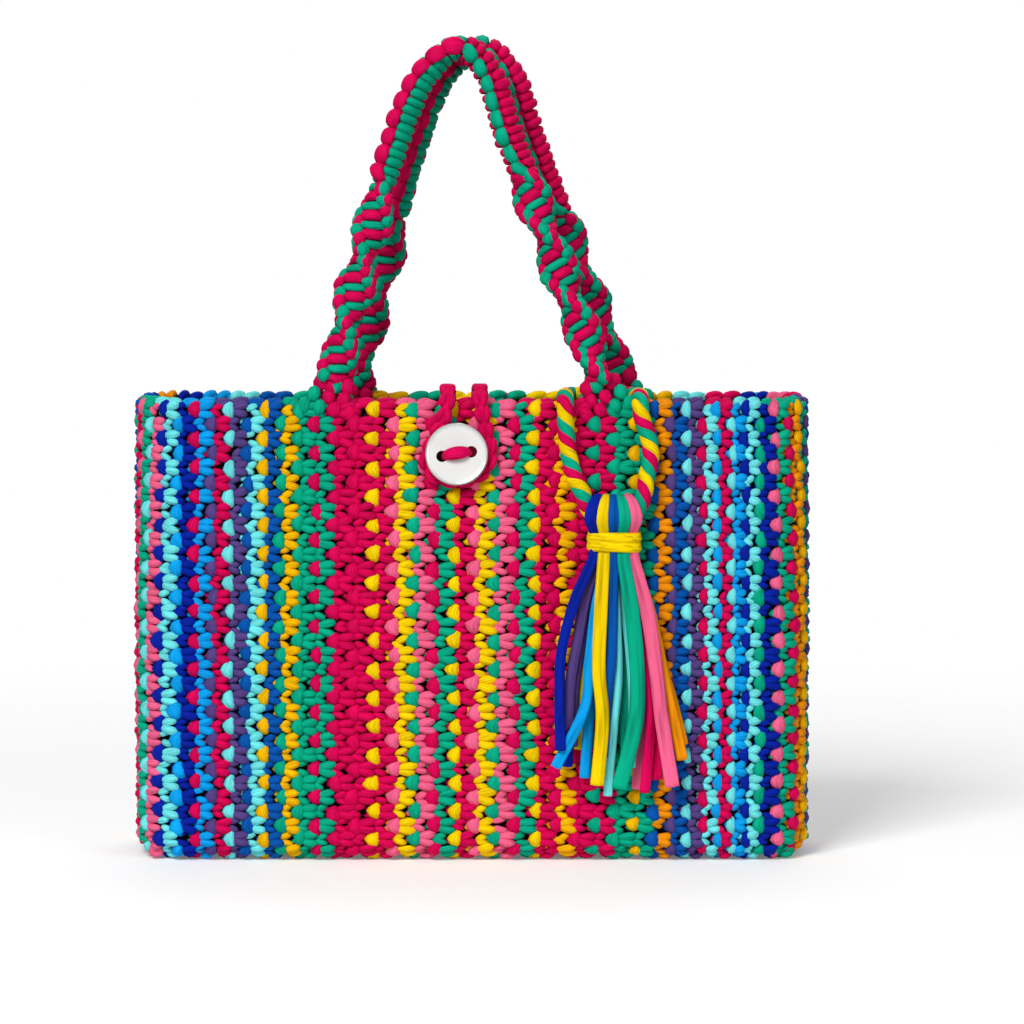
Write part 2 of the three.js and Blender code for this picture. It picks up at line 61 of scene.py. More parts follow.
# Bag body, with the sizes of the frame
body_low, body_high = (np.array(corner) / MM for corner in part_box("bag_body"))
BAG_WIDTH = body_high[0] - body_low[0]
BAG_HEIGHT = body_high[2]
BASE_DEPTH = 100
MOUTH_DEPTH = 70
FULL_DEPTH_HEIGHT = 110
WALL = 9
CORNER_RADIUS = 28
BASE_EDGE = 12
FACE_CROWN = 4
SMALLEST_CORNER = 4
KNOT_STANDS_OUT = 2.6

# Columns of knots: the front's straight run, and where some of its columns lie across it
COLUMNS = 86
MARKED_COLUMNS = [2.79, 11, 26, 28, 31, 34.36]
MARKED_X = [-165, -83.7, 89.2, 111.2, 138.2, 165]
FRONT_START = MARKED_COLUMNS[0]
FRONT_COLUMNS = MARKED_COLUMNS[-1] - FRONT_START
KNOT_PITCH = 16.45
COLUMN_PITCH = 9.75
TOP_KNOT_DROP = 6.4
KNOTS_IN_COLUMN = 17
BASE_ROWS = 8
# The backing behind the knots, a near-black sheet that paints shade into the gaps between them: how far off
# the wall its two faces are, where its upright part starts and how far below the rim it ends
BACKING = (-4.2, -5.6)
BACKING_LOW = 40
BACKING_TOP_DROP = 4
# How unlike each other the knots are: in size, in their turn in radians and in place
SIZE_CHANCE = 0.05
TURN_CHANCE = 0.09
MOVE_CHANCE = 0.3
BASE_SIZE_CHANCE = 0.04
HANDLE_MOVE_CHANCE = 0.15
LOOP_SIZE_CHANCE = 0.03

# One yarn colour for each column of a half turn round the bag, from the front's left edge
STRIPES = """
green pink aqua navy sky crimson purple aqua blue amber green green crimson crimson crimson
yellow pink green crimson yellow pink green crimson amber crimson crimson green green orange blue
purple aqua crimson sky aqua navy green orange green navy purple blue crimson
""".split()
# Columns whose bump isn't of the next column's colour
OWN_BUMPS = {22: "yellow", 27: "amber", 36: "pink", 37: "crimson", 38: "amber"}

# Handles
FRONT_HANDLE_X = -3
BACK_HANDLE_X = 9
FOOT_SPREAD = 157
HANDLE_RISE = 202
GRIP_Y = 10.4
TOUCH = 0.3
FOOT_Y = MOUTH_DEPTH / 2 - WALL / 2
HANDLE_LINE = [
    (-0.5, 0), (-0.43, 0.25), (-0.345, 0.5), (-0.255, 0.745), (-0.155, 0.92), (-0.025, 1),
    (0.075, 0.93), (0.155, 0.75), (0.265, 0.52), (0.365, 0.31), (0.45, 0.14), (0.5, 0),
]
HALF_TURN = 41
HALF_KNOT_PITCH = 5.3
SQUARE_KNOT_PITCH = 10.8
SPIRAL_EASE = 7
FOOT_HEIGHT = 12
HANDLE_CORE_HALVES = (7.4, 4.4)
HANDLE_CORE_STEP = 4
# How the grip is rolled on its left and its right, and between which shares of the handle's length
# the one becomes the other
GRIP_ROLLS = (np.pi / 4, np.pi / 2)
GRIP_CHANGE = (0.42, 0.58)
# How far each handle's grip lies over besides, on its left and its right, and half the run of that change
LEAN_EASE = 15
FRONT_LEANS = (0, 0.19 * np.pi)
BACK_LEANS = (0.15 * np.pi, 0.19 * np.pi)
FRONT_SPIRALS = (134, 141)
BACK_SPIRALS = (114, 118)

# Closing loop and button
LOOP_DIAMETER = 8
LOOP_CORE_HALVES = (3.1, 2.7)
STITCH_PITCH = 9.2
BUTTON_X = -8.8
BUTTON_Z = BAG_HEIGHT - 32.6
BUTTON_OFF = LOOP_DIAMETER + 5 * TOUCH
BUTTON_RADIUS = 18
BUTTON_THICKNESS = 4.2
BUTTON_ROLL = -0.154
BUTTON_FACE_DROP = 0.8
BUTTON_RIM_WIDTH = 1.9
BUTTON_SHARP_EDGE = math.radians(40)
HOLE_SPACING = 17
HOLE_RADIUS = 3.3
HOLE_CUT_PAST = 5
TAPE_INSET = 1.4
TAPE_END_HALF, TAPE_SWELL = 2.3, 1.3
TAPE_THICKNESS = 2.8

# Tassel
ROPE_DIAMETER = 10.4
ROPE_X, ROPE_Y, ROPE_Z = 75, -14.5, BAG_HEIGHT + 1
ROPE_HALF_SPAN = 21.5
ROPE_TURN = 13.5
ROPE_OVER_RIM = 13
ROPE_BEND = 15
ROPE_BEND_FLAT = 3
ROPE_LAY = 20.7
PLY_WIDTH, PLY_THICKNESS = 6.3, 4.2
PLY_OFF = 2.95
TASSEL_X = 80.6
BEND_Z = BAG_HEIGHT - 66.5
STRAND_THICKNESS = 3.6
TIP_THINNING = 0.8
STRAND_SIDES = 18
STRAND_STEP = 2.5
# How dense a strand's creases are along it and across it, as a share of the other yarn's
LONG_CREASE = 0.15
WIDE_CREASE = 0.2
BOUND_THICKNESS = 3
FOLD_INNER = ROPE_DIAMETER / 2 + 3 * TOUCH + BOUND_THICKNESS / 2
FOLD_OUTER = FOLD_INNER + BOUND_THICKNESS + TOUCH
BEND_OFF = FOLD_OUTER + BOUND_THICKNESS / 2 + 0.2
BOUND_INNER = BOUND_THICKNESS / 2 + TOUCH
BOUND_OUTER = BOUND_INNER + BOUND_THICKNESS + 3 * TOUCH
WRAP_TOP = BEND_Z - ROPE_DIAMETER / 2 - 7
WRAP_HEIGHT = 10
WRAP_RISE = 3.6
WRAP_ASIDE = 0.5
WRAP_HALVES = (14.3, 7.8)
WRAP_SQUARENESS = 0.6
TAPE_RING_HALVES = (2.9, 1.4)
LAYER_PITCH = 4.2
LAYER_CLEARANCE = 0.6
# Where a strand fans out below the wrap, as shares of how far it hangs and of its ways aside and off
FAN_DOWN, FAN_ASIDE, FAN_OFF = 0.22, 0.6, 0.6
LOWER_BEND = 0.4

# Shared helpers for curves and solids

Solid = namedtuple("Solid", "points quads tris along around")


def smoothstep(value, low, high):
    share = np.clip((value - low) / (high - low), 0, 1)
    return share * share * (3 - 2 * share)


def unit(vectors):
    return vectors / np.linalg.norm(vectors, axis=-1, keepdims=True)


def round_angles(count):
    return 2 * np.pi * np.arange(count) / count


def route(points, per_span=10):
    """A smooth line through the points: a centripetal Catmull-Rom curve"""
    points = np.array(points, float)
    ends = [2 * points[0] - points[1]], [2 * points[-1] - points[-2]]
    padded = np.concatenate([ends[0], points, ends[1]])
    gaps = np.sqrt(np.linalg.norm(np.diff(padded, axis=0), axis=1))
    share = (np.arange(per_span) / per_span)[:, None]
    line = []
    for i in range(len(points) - 1):
        p0, p1, p2, p3 = padded[i:i + 4]
        d0, d1, d2 = gaps[i:i + 3]
        leave = ((p1 - p0) / d0 - (p2 - p0) / (d0 + d1) + (p2 - p1) / d1) * d1
        arrive = ((p2 - p1) / d1 - (p3 - p1) / (d1 + d2) + (p3 - p2) / d2) * d1
        square = -3 * p1 + 3 * p2 - 2 * leave - arrive
        cube = 2 * p1 - 2 * p2 + leave + arrive
        line.append(p1 + share * (leave + share * (square + share * cube)))
    return np.concatenate([*line, points[-1:]])


def lengths(line):
    steps = np.linalg.norm(np.diff(line, axis=0), axis=1)
    return np.concatenate([[0], np.cumsum(steps)])


def at_length(line, where):
    along = lengths(line)
    return np.stack([np.interp(where, along, line[:, k]) for k in range(3)], axis=-1)


def directions(line):
    return unit(np.gradient(line, axis=0))


def carried_axis(line, first):
    """An axis square to the line that is carried along it without twisting"""
    ways = directions(line)
    axis = np.array(first, float)
    axes = []
    for way in ways:
        axis = unit(axis - way * (axis @ way))
        axes.append(axis)
    return np.array(axes)


def ring_solid(rings, tips, run, girth):
    """A closed skin through rings of points, with a tip at either end"""
    count, sides = rings.shape[:2]
    points = np.concatenate([rings.reshape(-1, 3), tips])
    ring, k = np.meshgrid(np.arange(count - 1), np.arange(sides), indexing="ij")
    low = (ring * sides + k).ravel()
    low_next = (ring * sides + (k + 1) % sides).ravel()
    quads = np.stack([low, low_next, low_next + sides, low + sides], axis=1)
    k = np.arange(sides)
    first, last = count * sides, count * sides + 1
    top = (count - 1) * sides
    tris = np.concatenate([
        np.stack([np.full(sides, first), (k + 1) % sides, k], axis=1),
        np.stack([np.full(sides, last), top + k, top + (k + 1) % sides], axis=1),
    ])
    along = np.concatenate([np.repeat(run[1:-1], sides), run[:1], run[-1:]])
    around = np.concatenate([np.tile(girth * np.abs(1 - 2 * k / sides), count), [0, 0]])
    return Solid(points, quads, tris, along, around)


def lofted(line, side, out, half_side, half_out, sides, shape=1.0):
    """A closed strand round a line. The line's first and last points are its two tips."""
    angle = round_angles(sides)
    count = len(line) - 2
    half_side = np.broadcast_to(np.asarray(half_side, float), count)
    half_out = np.broadcast_to(np.asarray(half_out, float), count)
    sideways = shape * half_side[:, None] * np.cos(angle)
    outward = shape * half_out[:, None] * np.sin(angle)
    rings = line[1:-1, None] + sideways[..., None] * side[1:-1, None]
    rings = rings + outward[..., None] * out[1:-1, None]
    girth = np.pi * (half_side + half_out).mean()
    return ring_solid(rings, line[[0, -1]], lengths(line), girth)


def strand(points, half_side, half_out, sides, rings):
    """A short strand on a surface: points are (across, up, out), and it is fullest in its middle"""
    points = np.array(points, float)
    spans = len(points) - 1
    where = np.linspace(0, 1, rings + 2)
    fine = route(points, 16)
    line = at_length(fine, where * lengths(fine)[-1])
    way = directions(line)
    side = unit(np.cross([0, 0, 1.0], way))
    out = np.cross(way, side)
    known = np.linspace(0, 1, spans + 1)
    return lofted(
        line, side, out,
        np.interp(where[1:-1], known, half_side), np.interp(where[1:-1], known, half_out), sides,
    )


def joined(solids):
    """Several solids as one"""
    starts = np.cumsum([0, *(len(s.points) for s in solids)])
    return Solid(
        np.concatenate([s.points for s in solids]),
        np.concatenate([s.quads + start for s, start in zip(solids, starts)]),
        np.concatenate([s.tris + start for s, start in zip(solids, starts)]),
        np.concatenate([s.along for s in solids]),
        np.concatenate([s.around for s in solids]),
    )


def repeated(solid, points):
    """Copies of a solid, one for each row of moved points, each with its own stretch of yarn"""
    copies, size = points.shape[:2]
    shift = (np.arange(copies) * size)[:, None, None]
    yarn = rng.uniform(0, YARN_LENGTH, copies)[:, None]
    return Solid(
        points.reshape(-1, 3),
        (solid.quads[None] + shift).reshape(-1, 4),
        (solid.tris[None] + shift).reshape(-1, 3),
        (solid.along[None] + yarn).ravel(),
        np.tile(solid.around, copies),
    )


def placed(name, data):
    """A new object in the scene"""
    thing = bpy.data.objects.new(name, data)
    bpy.context.scene.collection.objects.link(thing)
    return thing


def mesh_piece(name, groups):
    """A smooth mesh object in metres, from pairs of a solid and its material, with the yarn's own
    lengthwise and crosswise coordinates"""
    solid = joined([part for part, _ in groups])
    mesh = bpy.data.meshes.new(name)
    corners = np.concatenate([solid.quads.ravel(), solid.tris.ravel()])
    starts = np.concatenate([
        4 * np.arange(len(solid.quads)), solid.quads.size + 3 * np.arange(len(solid.tris)),
    ])
    mesh.vertices.add(len(solid.points))
    mesh.vertices.foreach_set("co", (solid.points * MM).ravel())
    mesh.loops.add(len(corners))
    mesh.loops.foreach_set("vertex_index", corners)
    mesh.polygons.add(len(starts))
    mesh.polygons.foreach_set("loop_start", starts)
    order = np.arange(len(groups))
    mesh.polygons.foreach_set("material_index", np.concatenate([
        np.repeat(order, [len(part.quads) for part, _ in groups]),
        np.repeat(order, [len(part.tris) for part, _ in groups]),
    ]))
    uv = mesh.uv_layers.new(name="yarn")
    yarn = np.stack([solid.along, solid.around], axis=1)[corners]
    uv.data.foreach_set("uv", (yarn * UV_PER_MM).ravel())
    for _, material in groups:
        mesh.materials.append(material)
    mesh.update(calc_edges=True)
    mesh.validate()
    mesh.shade_smooth()
    return placed(name, mesh)


def settle(piece, body, node):
    """Attaches a piece to what it moves with and hides the plain solid it stands for"""
    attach(piece, body)
    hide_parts(node)
    return piece


# Materials


def linear(code):
    """sRGB code to linear colour"""
    values = [int(code[i:i + 2], 16) / 255 for i in (0, 2, 4)]
    return [v / 12.92 if v <= 0.04045 else ((v + 0.055) / 1.055) ** 2.4 for v in values]


def with_nodes(name):
    """A new material, with its nodes, links and shader"""
    material = bpy.data.materials.new(name)
    material.use_nodes = True
    nodes, links = material.node_tree.nodes, material.node_tree.links
    return material, nodes, links, nodes["Principled BSDF"]


def set_inputs(node, values):
    for name, value in values.items():
        node.inputs[name].default_value = value


def yarn_material(name, code):
    """Jersey yarn: soft, with creases that run along it and a slightly uneven colour; the creases are
    bumped and also painted darker as painted shade
    """
    material, nodes, links, shader = with_nodes(name)
    colour = np.array(linear(code))
    uv = nodes.new("ShaderNodeUVMap")
    uv.uv_map = "yarn"

    def noise(scale, detail):
        mapping = nodes.new("ShaderNodeMapping")
        mapping.inputs["Scale"].default_value = (*scale, 1)
        links.new(uv.outputs["UV"], mapping.inputs["Vector"])
        texture = nodes.new("ShaderNodeTexNoise")
        set_inputs(texture, {"Scale": 1, "Detail": detail})
        links.new(mapping.outputs["Vector"], texture.inputs["Vector"])
        return texture.outputs["Fac"]

    crease_and_painted_shade = noise((1.3, 11), 2)
    uneven = noise((0.55, 0.9), 1)
    # Painted shade: where the crease noise is low, in the recesses, the base colour darkens to 0.55 of
    # itself
    ramp = nodes.new("ShaderNodeValToRGB")
    ramp.color_ramp.elements[0].position = 0.3
    ramp.color_ramp.elements[0].color = (*(colour * 0.55), 1)
    ramp.color_ramp.elements[1].position = 0.52
    ramp.color_ramp.elements[1].color = (*colour, 1)
    links.new(crease_and_painted_shade, ramp.inputs["Fac"])
    shift = nodes.new("ShaderNodeHueSaturation")
    value = nodes.new("ShaderNodeMapRange")
    set_inputs(value, {"From Min": 0.3, "From Max": 0.7, "To Min": 0.86, "To Max": 1.1})
    links.new(uneven, value.inputs["Value"])
    links.new(value.outputs["Result"], shift.inputs["Value"])
    links.new(ramp.outputs["Color"], shift.inputs["Color"])
    links.new(shift.outputs["Color"], shader.inputs["Base Color"])
    bump = nodes.new("ShaderNodeBump")
    set_inputs(bump, {"Strength": 0.8, "Distance": 0.5 * MM})
    links.new(crease_and_painted_shade, bump.inputs["Height"])
    links.new(bump.outputs["Normal"], shader.inputs["Normal"])
    set_inputs(shader, {"Roughness": 0.68, "Specular IOR Level": 0.07})
    return material


yarns = {name: yarn_material(f"yarn_{name}", code) for name, code in YARN.items()}
# Near-black yarn colour for the backing behind the knots: painted shade, seen in the gaps between them
shade = yarn_material("painted_shade_behind_knots", "180a12")


def polished(name, colour, roughness, metallic, patch):
    """A polished surface with a faint cloudiness"""
    material, nodes, links, shader = with_nodes(name)
    place = nodes.new("ShaderNodeTexCoord")
    cloud = nodes.new("ShaderNodeTexNoise")
    set_inputs(cloud, {"Scale": patch, "Detail": 3})
    links.new(place.outputs["Object"], cloud.inputs["Vector"])
    ramp = nodes.new("ShaderNodeValToRGB")
    ramp.color_ramp.elements[0].color = (*(np.array(colour) * 0.9), 1)
    ramp.color_ramp.elements[1].color = (*colour, 1)
    links.new(cloud.outputs["Fac"], ramp.inputs["Fac"])
    links.new(ramp.outputs["Color"], shader.inputs["Base Color"])
    set_inputs(shader, {"Roughness": roughness, "Metallic": metallic})
    return material


white = polished("button_white", (0.8, 0.8, 0.79), 0.25, 0, 120)
button_rim = polished("button_rim", (0.62, 0.62, 0.63), 0.25, 0.6, 300)

# Bag body: places on its wall


def half_depth(z):
    top = BAG_HEIGHT + FULL_DEPTH_HEIGHT / 2
    lean = smoothstep(z, FULL_DEPTH_HEIGHT, top) / smoothstep(BAG_HEIGHT, FULL_DEPTH_HEIGHT, top)
    return (BASE_DEPTH + (MOUTH_DEPTH - BASE_DEPTH) * lean) / 2


def crown_at(z):
    return FACE_CROWN * np.sin(np.pi * np.clip(z, 0, BAG_HEIGHT) / BAG_HEIGHT)


def on_face(x, off, z):
    """A place off the front face"""
    share = 2 * x / BAG_WIDTH
    return np.array([x, -(half_depth(z) + crown_at(z) * (1 - share * share)) - off, z])


EDGE_RUN = BASE_EDGE * np.pi / 2
RIM = EDGE_RUN + BAG_HEIGHT - BASE_EDGE


def wall(column, up):
    """The bag's outer face at a column number and a way up from the base's flat part"""
    turn = (column - FRONT_START) % COLUMNS
    behind = turn >= COLUMNS / 2
    turn = np.where(behind, turn - COLUMNS / 2, turn)
    roll = np.clip(up / BASE_EDGE, 0, np.pi / 2)
    z = BASE_EDGE * (1 - np.cos(roll)) + np.maximum(up - EDGE_RUN, 0)
    inset = BASE_EDGE * (1 - np.sin(roll)) + np.maximum(-up, 0)
    depth = half_depth(z) - inset
    radius = np.maximum(CORNER_RADIUS - inset, SMALLEST_CORNER)
    arc = radius * np.pi / 2
    straight = 2 * (depth - radius)
    share = (turn - FRONT_COLUMNS) / (COLUMNS / 2 - FRONT_COLUMNS)
    run = np.clip(share, 0, 1) * (2 * arc + straight)
    angle = np.clip(run, 0, arc) / radius + np.clip(run - arc - straight, 0, arc) / radius
    corner = BAG_WIDTH / 2 - inset - radius
    front_x = np.interp(turn + FRONT_START, MARKED_COLUMNS, MARKED_X)
    x = np.where(share < 0, front_x, corner + radius * np.sin(angle))
    y = -(depth - radius) + np.clip(run - arc, 0, straight) - radius * np.cos(angle)
    y = np.where(share < 0, -depth, y)
    y = y + crown_at(z) * (1 - (2 * x / BAG_WIDTH) ** 2) * y / depth
    flip = np.where(behind, -1, 1)
    return np.stack([flip * x, flip * y, z], axis=-1)


def off_wall(column, up, off):
    """A place that far outside the wall's outer face, or less where the base edge turns under"""
    a_little = 0.15
    off = off - KNOT_STANDS_OUT * np.cos(np.clip(up / BASE_EDGE, 0, np.pi / 2))
    across = wall(column + a_little, up) - wall(column - a_little, up)
    upward = wall(column, up + a_little) - wall(column, up - a_little)
    return wall(column, up) + unit(np.cross(across, upward)) * off[..., None]


# Bag body: knots

# One knot, seen from outside: two lobes, a bump at their left, and the two arms of the yarn below
LOBE_LINE = [
    (-11.1, 1.3, -2.7), (-7.6, 1.6, -2.2), (-3.9, 1.0, -1.4),
    (-1.4, 1.9, 0.3), (1.9, 2.6, 0.1), (4.9, 3.1, -2.0),
]
PLAIN_LINE = [(-5, 2.2, -2), (0, 2.3, 0), (5, 2.2, -2)]


def upper_and_lower(line, half_side, half_out, sides, rings):
    """A strand above the knot's middle, and the same mirrored below it"""
    return [
        strand([(across, hand * up, out) for across, up, out in line], half_side, half_out, sides, rings)
        for hand in (1, -1)
    ]


LOBES = upper_and_lower(
    LOBE_LINE, [1.4, 2.1, 1.9, 2.5, 2.5, 1.3], [1.3, 1.9, 1.7, 2.4, 2.3, 1.2], 7, 8)
BUMP = strand(
    [(-3.7, 5.1, -2.8), (-5.5, 2.9, -0.6), (-6.6, 0, 0.3), (-5.5, -2.9, -0.6), (-3.7, -5.1, -2.8)],
    [0.9, 2.8, 3.7, 2.8, 0.9], [1.0, 2.3, 2.6, 2.3, 1.0], 8, 5)
ARM_HIGH = strand(
    [(0.4, -4.6, -2.4), (-3.6, -6.3, -0.7), (-7.4, -8.1, -2.3)],
    [1.6, 2.2, 1.3], [1.5, 2.0, 1.3], 7, 4)
ARM_LOW = strand(
    [(-7.4, -8.4, -2.3), (-3.6, -10.2, -0.7), (0.4, -11.9, -2.4)],
    [1.3, 2.2, 1.6], [1.3, 2.0, 1.5], 7, 4)
# A plainer knot for the inner side and the base
PLAIN_KNOT = joined(upper_and_lower(PLAIN_LINE, [1.6, 2.5, 1.6], [1.4, 2.2, 1.4], 6, 3))
RIM_LOOP = strand(
    [(-5.6, -2.4, -2.0), (-2.4, -1.9, -2.4), (0, -1.6, -4.5), (2.4, -1.9, -6.6), (5.6, -2.4, -7.0)],
    [1.8, 2.6, 2.8, 2.6, 1.8], [1.8, 2.5, 2.6, 2.5, 1.8], 8, 6)
RIM_EDGE = strand(
    [(-5.2, -4.0, -3.8), (-2.4, -3.0, -2.7), (0, -2.7, -2.4), (2.4, -3.0, -2.7), (5.2, -4.0, -3.8)],
    [1.6, 2.4, 2.6, 2.4, 1.6], [1.5, 2.0, 2.2, 2.0, 1.5], 8, 5)


def colour_of(column):
    return STRIPES[int(column) % len(STRIPES)]


def knot_places(knots):
    """Column number and height of each knot, a half pitch lower in every other column"""
    column, row = np.meshgrid(np.arange(COLUMNS), np.arange(knots), indexing="ij")
    up = RIM - TOP_KNOT_DROP - KNOT_PITCH * (row + (column % 2) / 2)
    return column.ravel(), up.ravel()


def on_wall(solid, column, up, depth=0.0, facing=1):
    """Copies of a solid on the wall, each moved, turned and sized a little by chance"""
    count = len(column)
    size = 1 + rng.normal(0, SIZE_CHANCE, (count, 3))
    turn = rng.normal(0, TURN_CHANCE, count)
    move = rng.normal(0, MOVE_CHANCE, (count, 3))
    p = solid.points[None] * size[:, None] + move[:, None]
    across = p[..., 0] * np.cos(turn)[:, None] - p[..., 1] * np.sin(turn)[:, None]
    upward = p[..., 0] * np.sin(turn)[:, None] + p[..., 1] * np.cos(turn)[:, None]
    columns = column[:, None] + facing * across / COLUMN_PITCH
    return repeated(solid, off_wall(columns, up[:, None] + upward, depth + facing * p[..., 2]))


def knotted_body():
    """The outer knots, the inner ones and the rim's loops, one piece for each yarn colour"""
    parts = {name: [] for name in YARN}
    column, up = knot_places(KNOTS_IN_COLUMN)
    lobes = np.array([colour_of(c) for c in column])
    bumps = np.array([OWN_BUMPS.get(c % len(STRIPES), colour_of(c + 1)) for c in column])
    inner = up > EDGE_RUN + WALL
    outer = up > 0
    armed = up > BASE_EDGE
    arm_column = np.concatenate([column[armed], np.arange(1, COLUMNS, 2)])
    top_arms = np.full(COLUMNS // 2, RIM - TOP_KNOT_DROP + KNOT_PITCH / 2)
    arm_up = np.concatenate([up[armed], top_arms])
    arms = np.array([colour_of(c) for c in arm_column])
    every = np.arange(COLUMNS)
    rim_colours = np.array([colour_of(c + c % 2) for c in every])
    base_x, base_y, base_colours = base_places()
    for name in YARN:
        mine = (lobes == name) & outer
        for solid in LOBES:
            parts[name].append(on_wall(solid, column[mine], up[mine]))
        mine = arms == name
        for solid in (ARM_HIGH, ARM_LOW):
            parts[name].append(on_wall(solid, arm_column[mine], arm_up[mine]))
        mine = (bumps == name) & outer
        parts[name].append(on_wall(BUMP, column[mine], up[mine]))
        mine = (lobes == name) & inner
        parts[name].append(on_wall(PLAIN_KNOT, column[mine], up[mine], KNOT_STANDS_OUT - WALL, -1))
        mine = every[rim_colours == name]
        for solid in (RIM_LOOP, RIM_EDGE):
            parts[name].append(on_wall(solid, mine, np.full(len(mine), RIM)))
        mine = base_colours == name
        for z, facing in ((KNOT_STANDS_OUT, -1), (WALL - KNOT_STANDS_OUT, 1)):
            parts[name].append(on_base(base_x[mine], base_y[mine], z, facing))
    for name, solids in parts.items():
        solid = joined(solids)
        solid.points[:, 2] = np.maximum(solid.points[:, 2], 0)
        piece = mesh_piece(f"knots_{name}", [(solid, yarns[name])])
        settle(piece, "bag", "bag_body")


def base_places():
    """Rows of knots across the base, each in the colour of the column it meets"""
    first, last = math.ceil(FRONT_START), math.floor(FRONT_START + FRONT_COLUMNS)
    xs = {c: float(np.interp(c, MARKED_COLUMNS, MARKED_X)) for c in range(first, last + 1)}
    for step in (1, 2):
        xs[first - step] = xs[first] - step * COLUMN_PITCH
        xs[last + step] = xs[last] + step * COLUMN_PITCH
    reach = BASE_DEPTH / 2 - BASE_EDGE
    rows = np.arange(-reach, reach + 1, 2 * reach / BASE_ROWS)
    x, y = np.meshgrid(list(xs.values()), rows, indexing="ij")
    colours = np.repeat([colour_of(c) for c in xs], len(rows))
    return x.ravel(), y.ravel(), colours


def on_base(x, y, z, facing):
    """Plain knots on the base's underside, or on its upper side"""
    p = PLAIN_KNOT.points[None] * (1 + rng.normal(0, BASE_SIZE_CHANCE, (len(x), 1, 3)))
    points = np.stack([x[:, None] + p[..., 0], y[:, None] + facing * p[..., 1], z + facing * p[..., 2]], -1)
    return repeated(PLAIN_KNOT, points)


def painted_shade_backing():
    """A shell inside the wall that closes the gaps between the knots; its near-black colour is painted
    shade, standing in for the dark inside of the bag
    """
    columns = np.arange(0, COLUMNS, 0.5)
    upright = np.linspace(BACKING_LOW, RIM - BACKING_TOP_DROP, 14)
    heights = np.concatenate([np.linspace(0, EDGE_RUN, 5), upright])
    levels = [(up, BACKING[0]) for up in heights] + [(up, BACKING[1]) for up in heights[::-1]]
    rings = np.array([
        off_wall(columns, np.full(len(columns), up), np.full(len(columns), off)) for up, off in levels
    ])
    tips = np.array([(0, 0, rings[0, 0, 2]), (0, 0, rings[-1, 0, 2])])
    run = lengths(np.concatenate([tips[:1], rings[:, 0], tips[1:]]))
    piece = mesh_piece("painted_shade_backing", [(ring_solid(rings, tips, run, COLUMNS * COLUMN_PITCH), shade)])
    settle(piece, "bag", "bag_body")


knotted_body()
painted_shade_backing()

# Handles: half knots that spiral up each leg, then square knots along the grip

Sennit = namedtuple("Sennit", "line way back roll length")


# Strands of the knots, as (across, along, out) from the sennit's middle
def leg_bar(half):
    return strand(
        [(-7.8, -1.3, 2.6), (-3.8, -0.7, 4.5), (0, 0, 4.8), (3.8, 0.7, 4.5), (7.8, 1.3, 2.6)],
        [0.7 * half, half, 1.05 * half, half, 0.7 * half], [1.6, 2.3, 2.5, 2.3, 1.6], 8, 6)


def grip_bar(out):
    return strand(
        [(-7.4, -0.4, out - 2.0), (-3.8, -0.2, out - 0.4), (0, 0, out),
         (3.8, 0.2, out - 0.4), (7.4, 0.4, out - 2.0)],
        [2.1, 2.8, 3.0, 2.8, 2.1], [1.8, 2.4, 2.6, 2.4, 1.8], 8, 6)


def grip_bump(half):
    return strand(
        [(0, -5.7, 5.0), (0, -3.0, 7.2), (0, 0, 7.8), (0, 3.0, 7.2), (0, 5.7, 5.0)],
        [0.45 * half, 0.9 * half, half, 0.9 * half, 0.45 * half], [1.6, 2.3, 2.5, 2.3, 1.6], 10, 6)


LEG_BARS = {"crimson": leg_bar(2.95), "green": leg_bar(2.3)}
LEG_BEAD = strand(
    [(5.6, -3.9, 4.6), (8.2, -1.5, 2.9), (9.3, 1.0, 0), (8.4, 3.7, -2.8)],
    [1.7, 2.9, 2.9, 1.5], [1.5, 2.5, 2.5, 1.5], 8, 6)
# The fat knots of a handle's foot: how far up and out each row is, then each knot's place across
# and its yarn
FOOT_ROWS = [
    (-6.5, 6.0, ((-14, "green"), (-5.5, "green"), (3.5, "crimson"), (12, "crimson"))),
    (0.5, 5.0, ((-9.8, "green"), (-1.2, "crimson"), (7.8, "crimson"))),
    (7.5, 4.2, ((-6.4, "crimson"), (2, "green"), (8.2, "crimson"))),
]


def foot_knot(across, up, out):
    return strand(
        [(across, up - 5, out - 1.4), (across, up, out), (across, up + 5, out - 1.4)],
        [2.6, 4.1, 2.4], [2.0, 2.8, 2.0], 8, 5)


def turned_over(solid):
    """The solid turned half round on the surface it lies on"""
    return solid._replace(points=solid.points * [-1, -1, 1])


def shifted(solid, along):
    return solid._replace(points=solid.points + [0, along, 0])


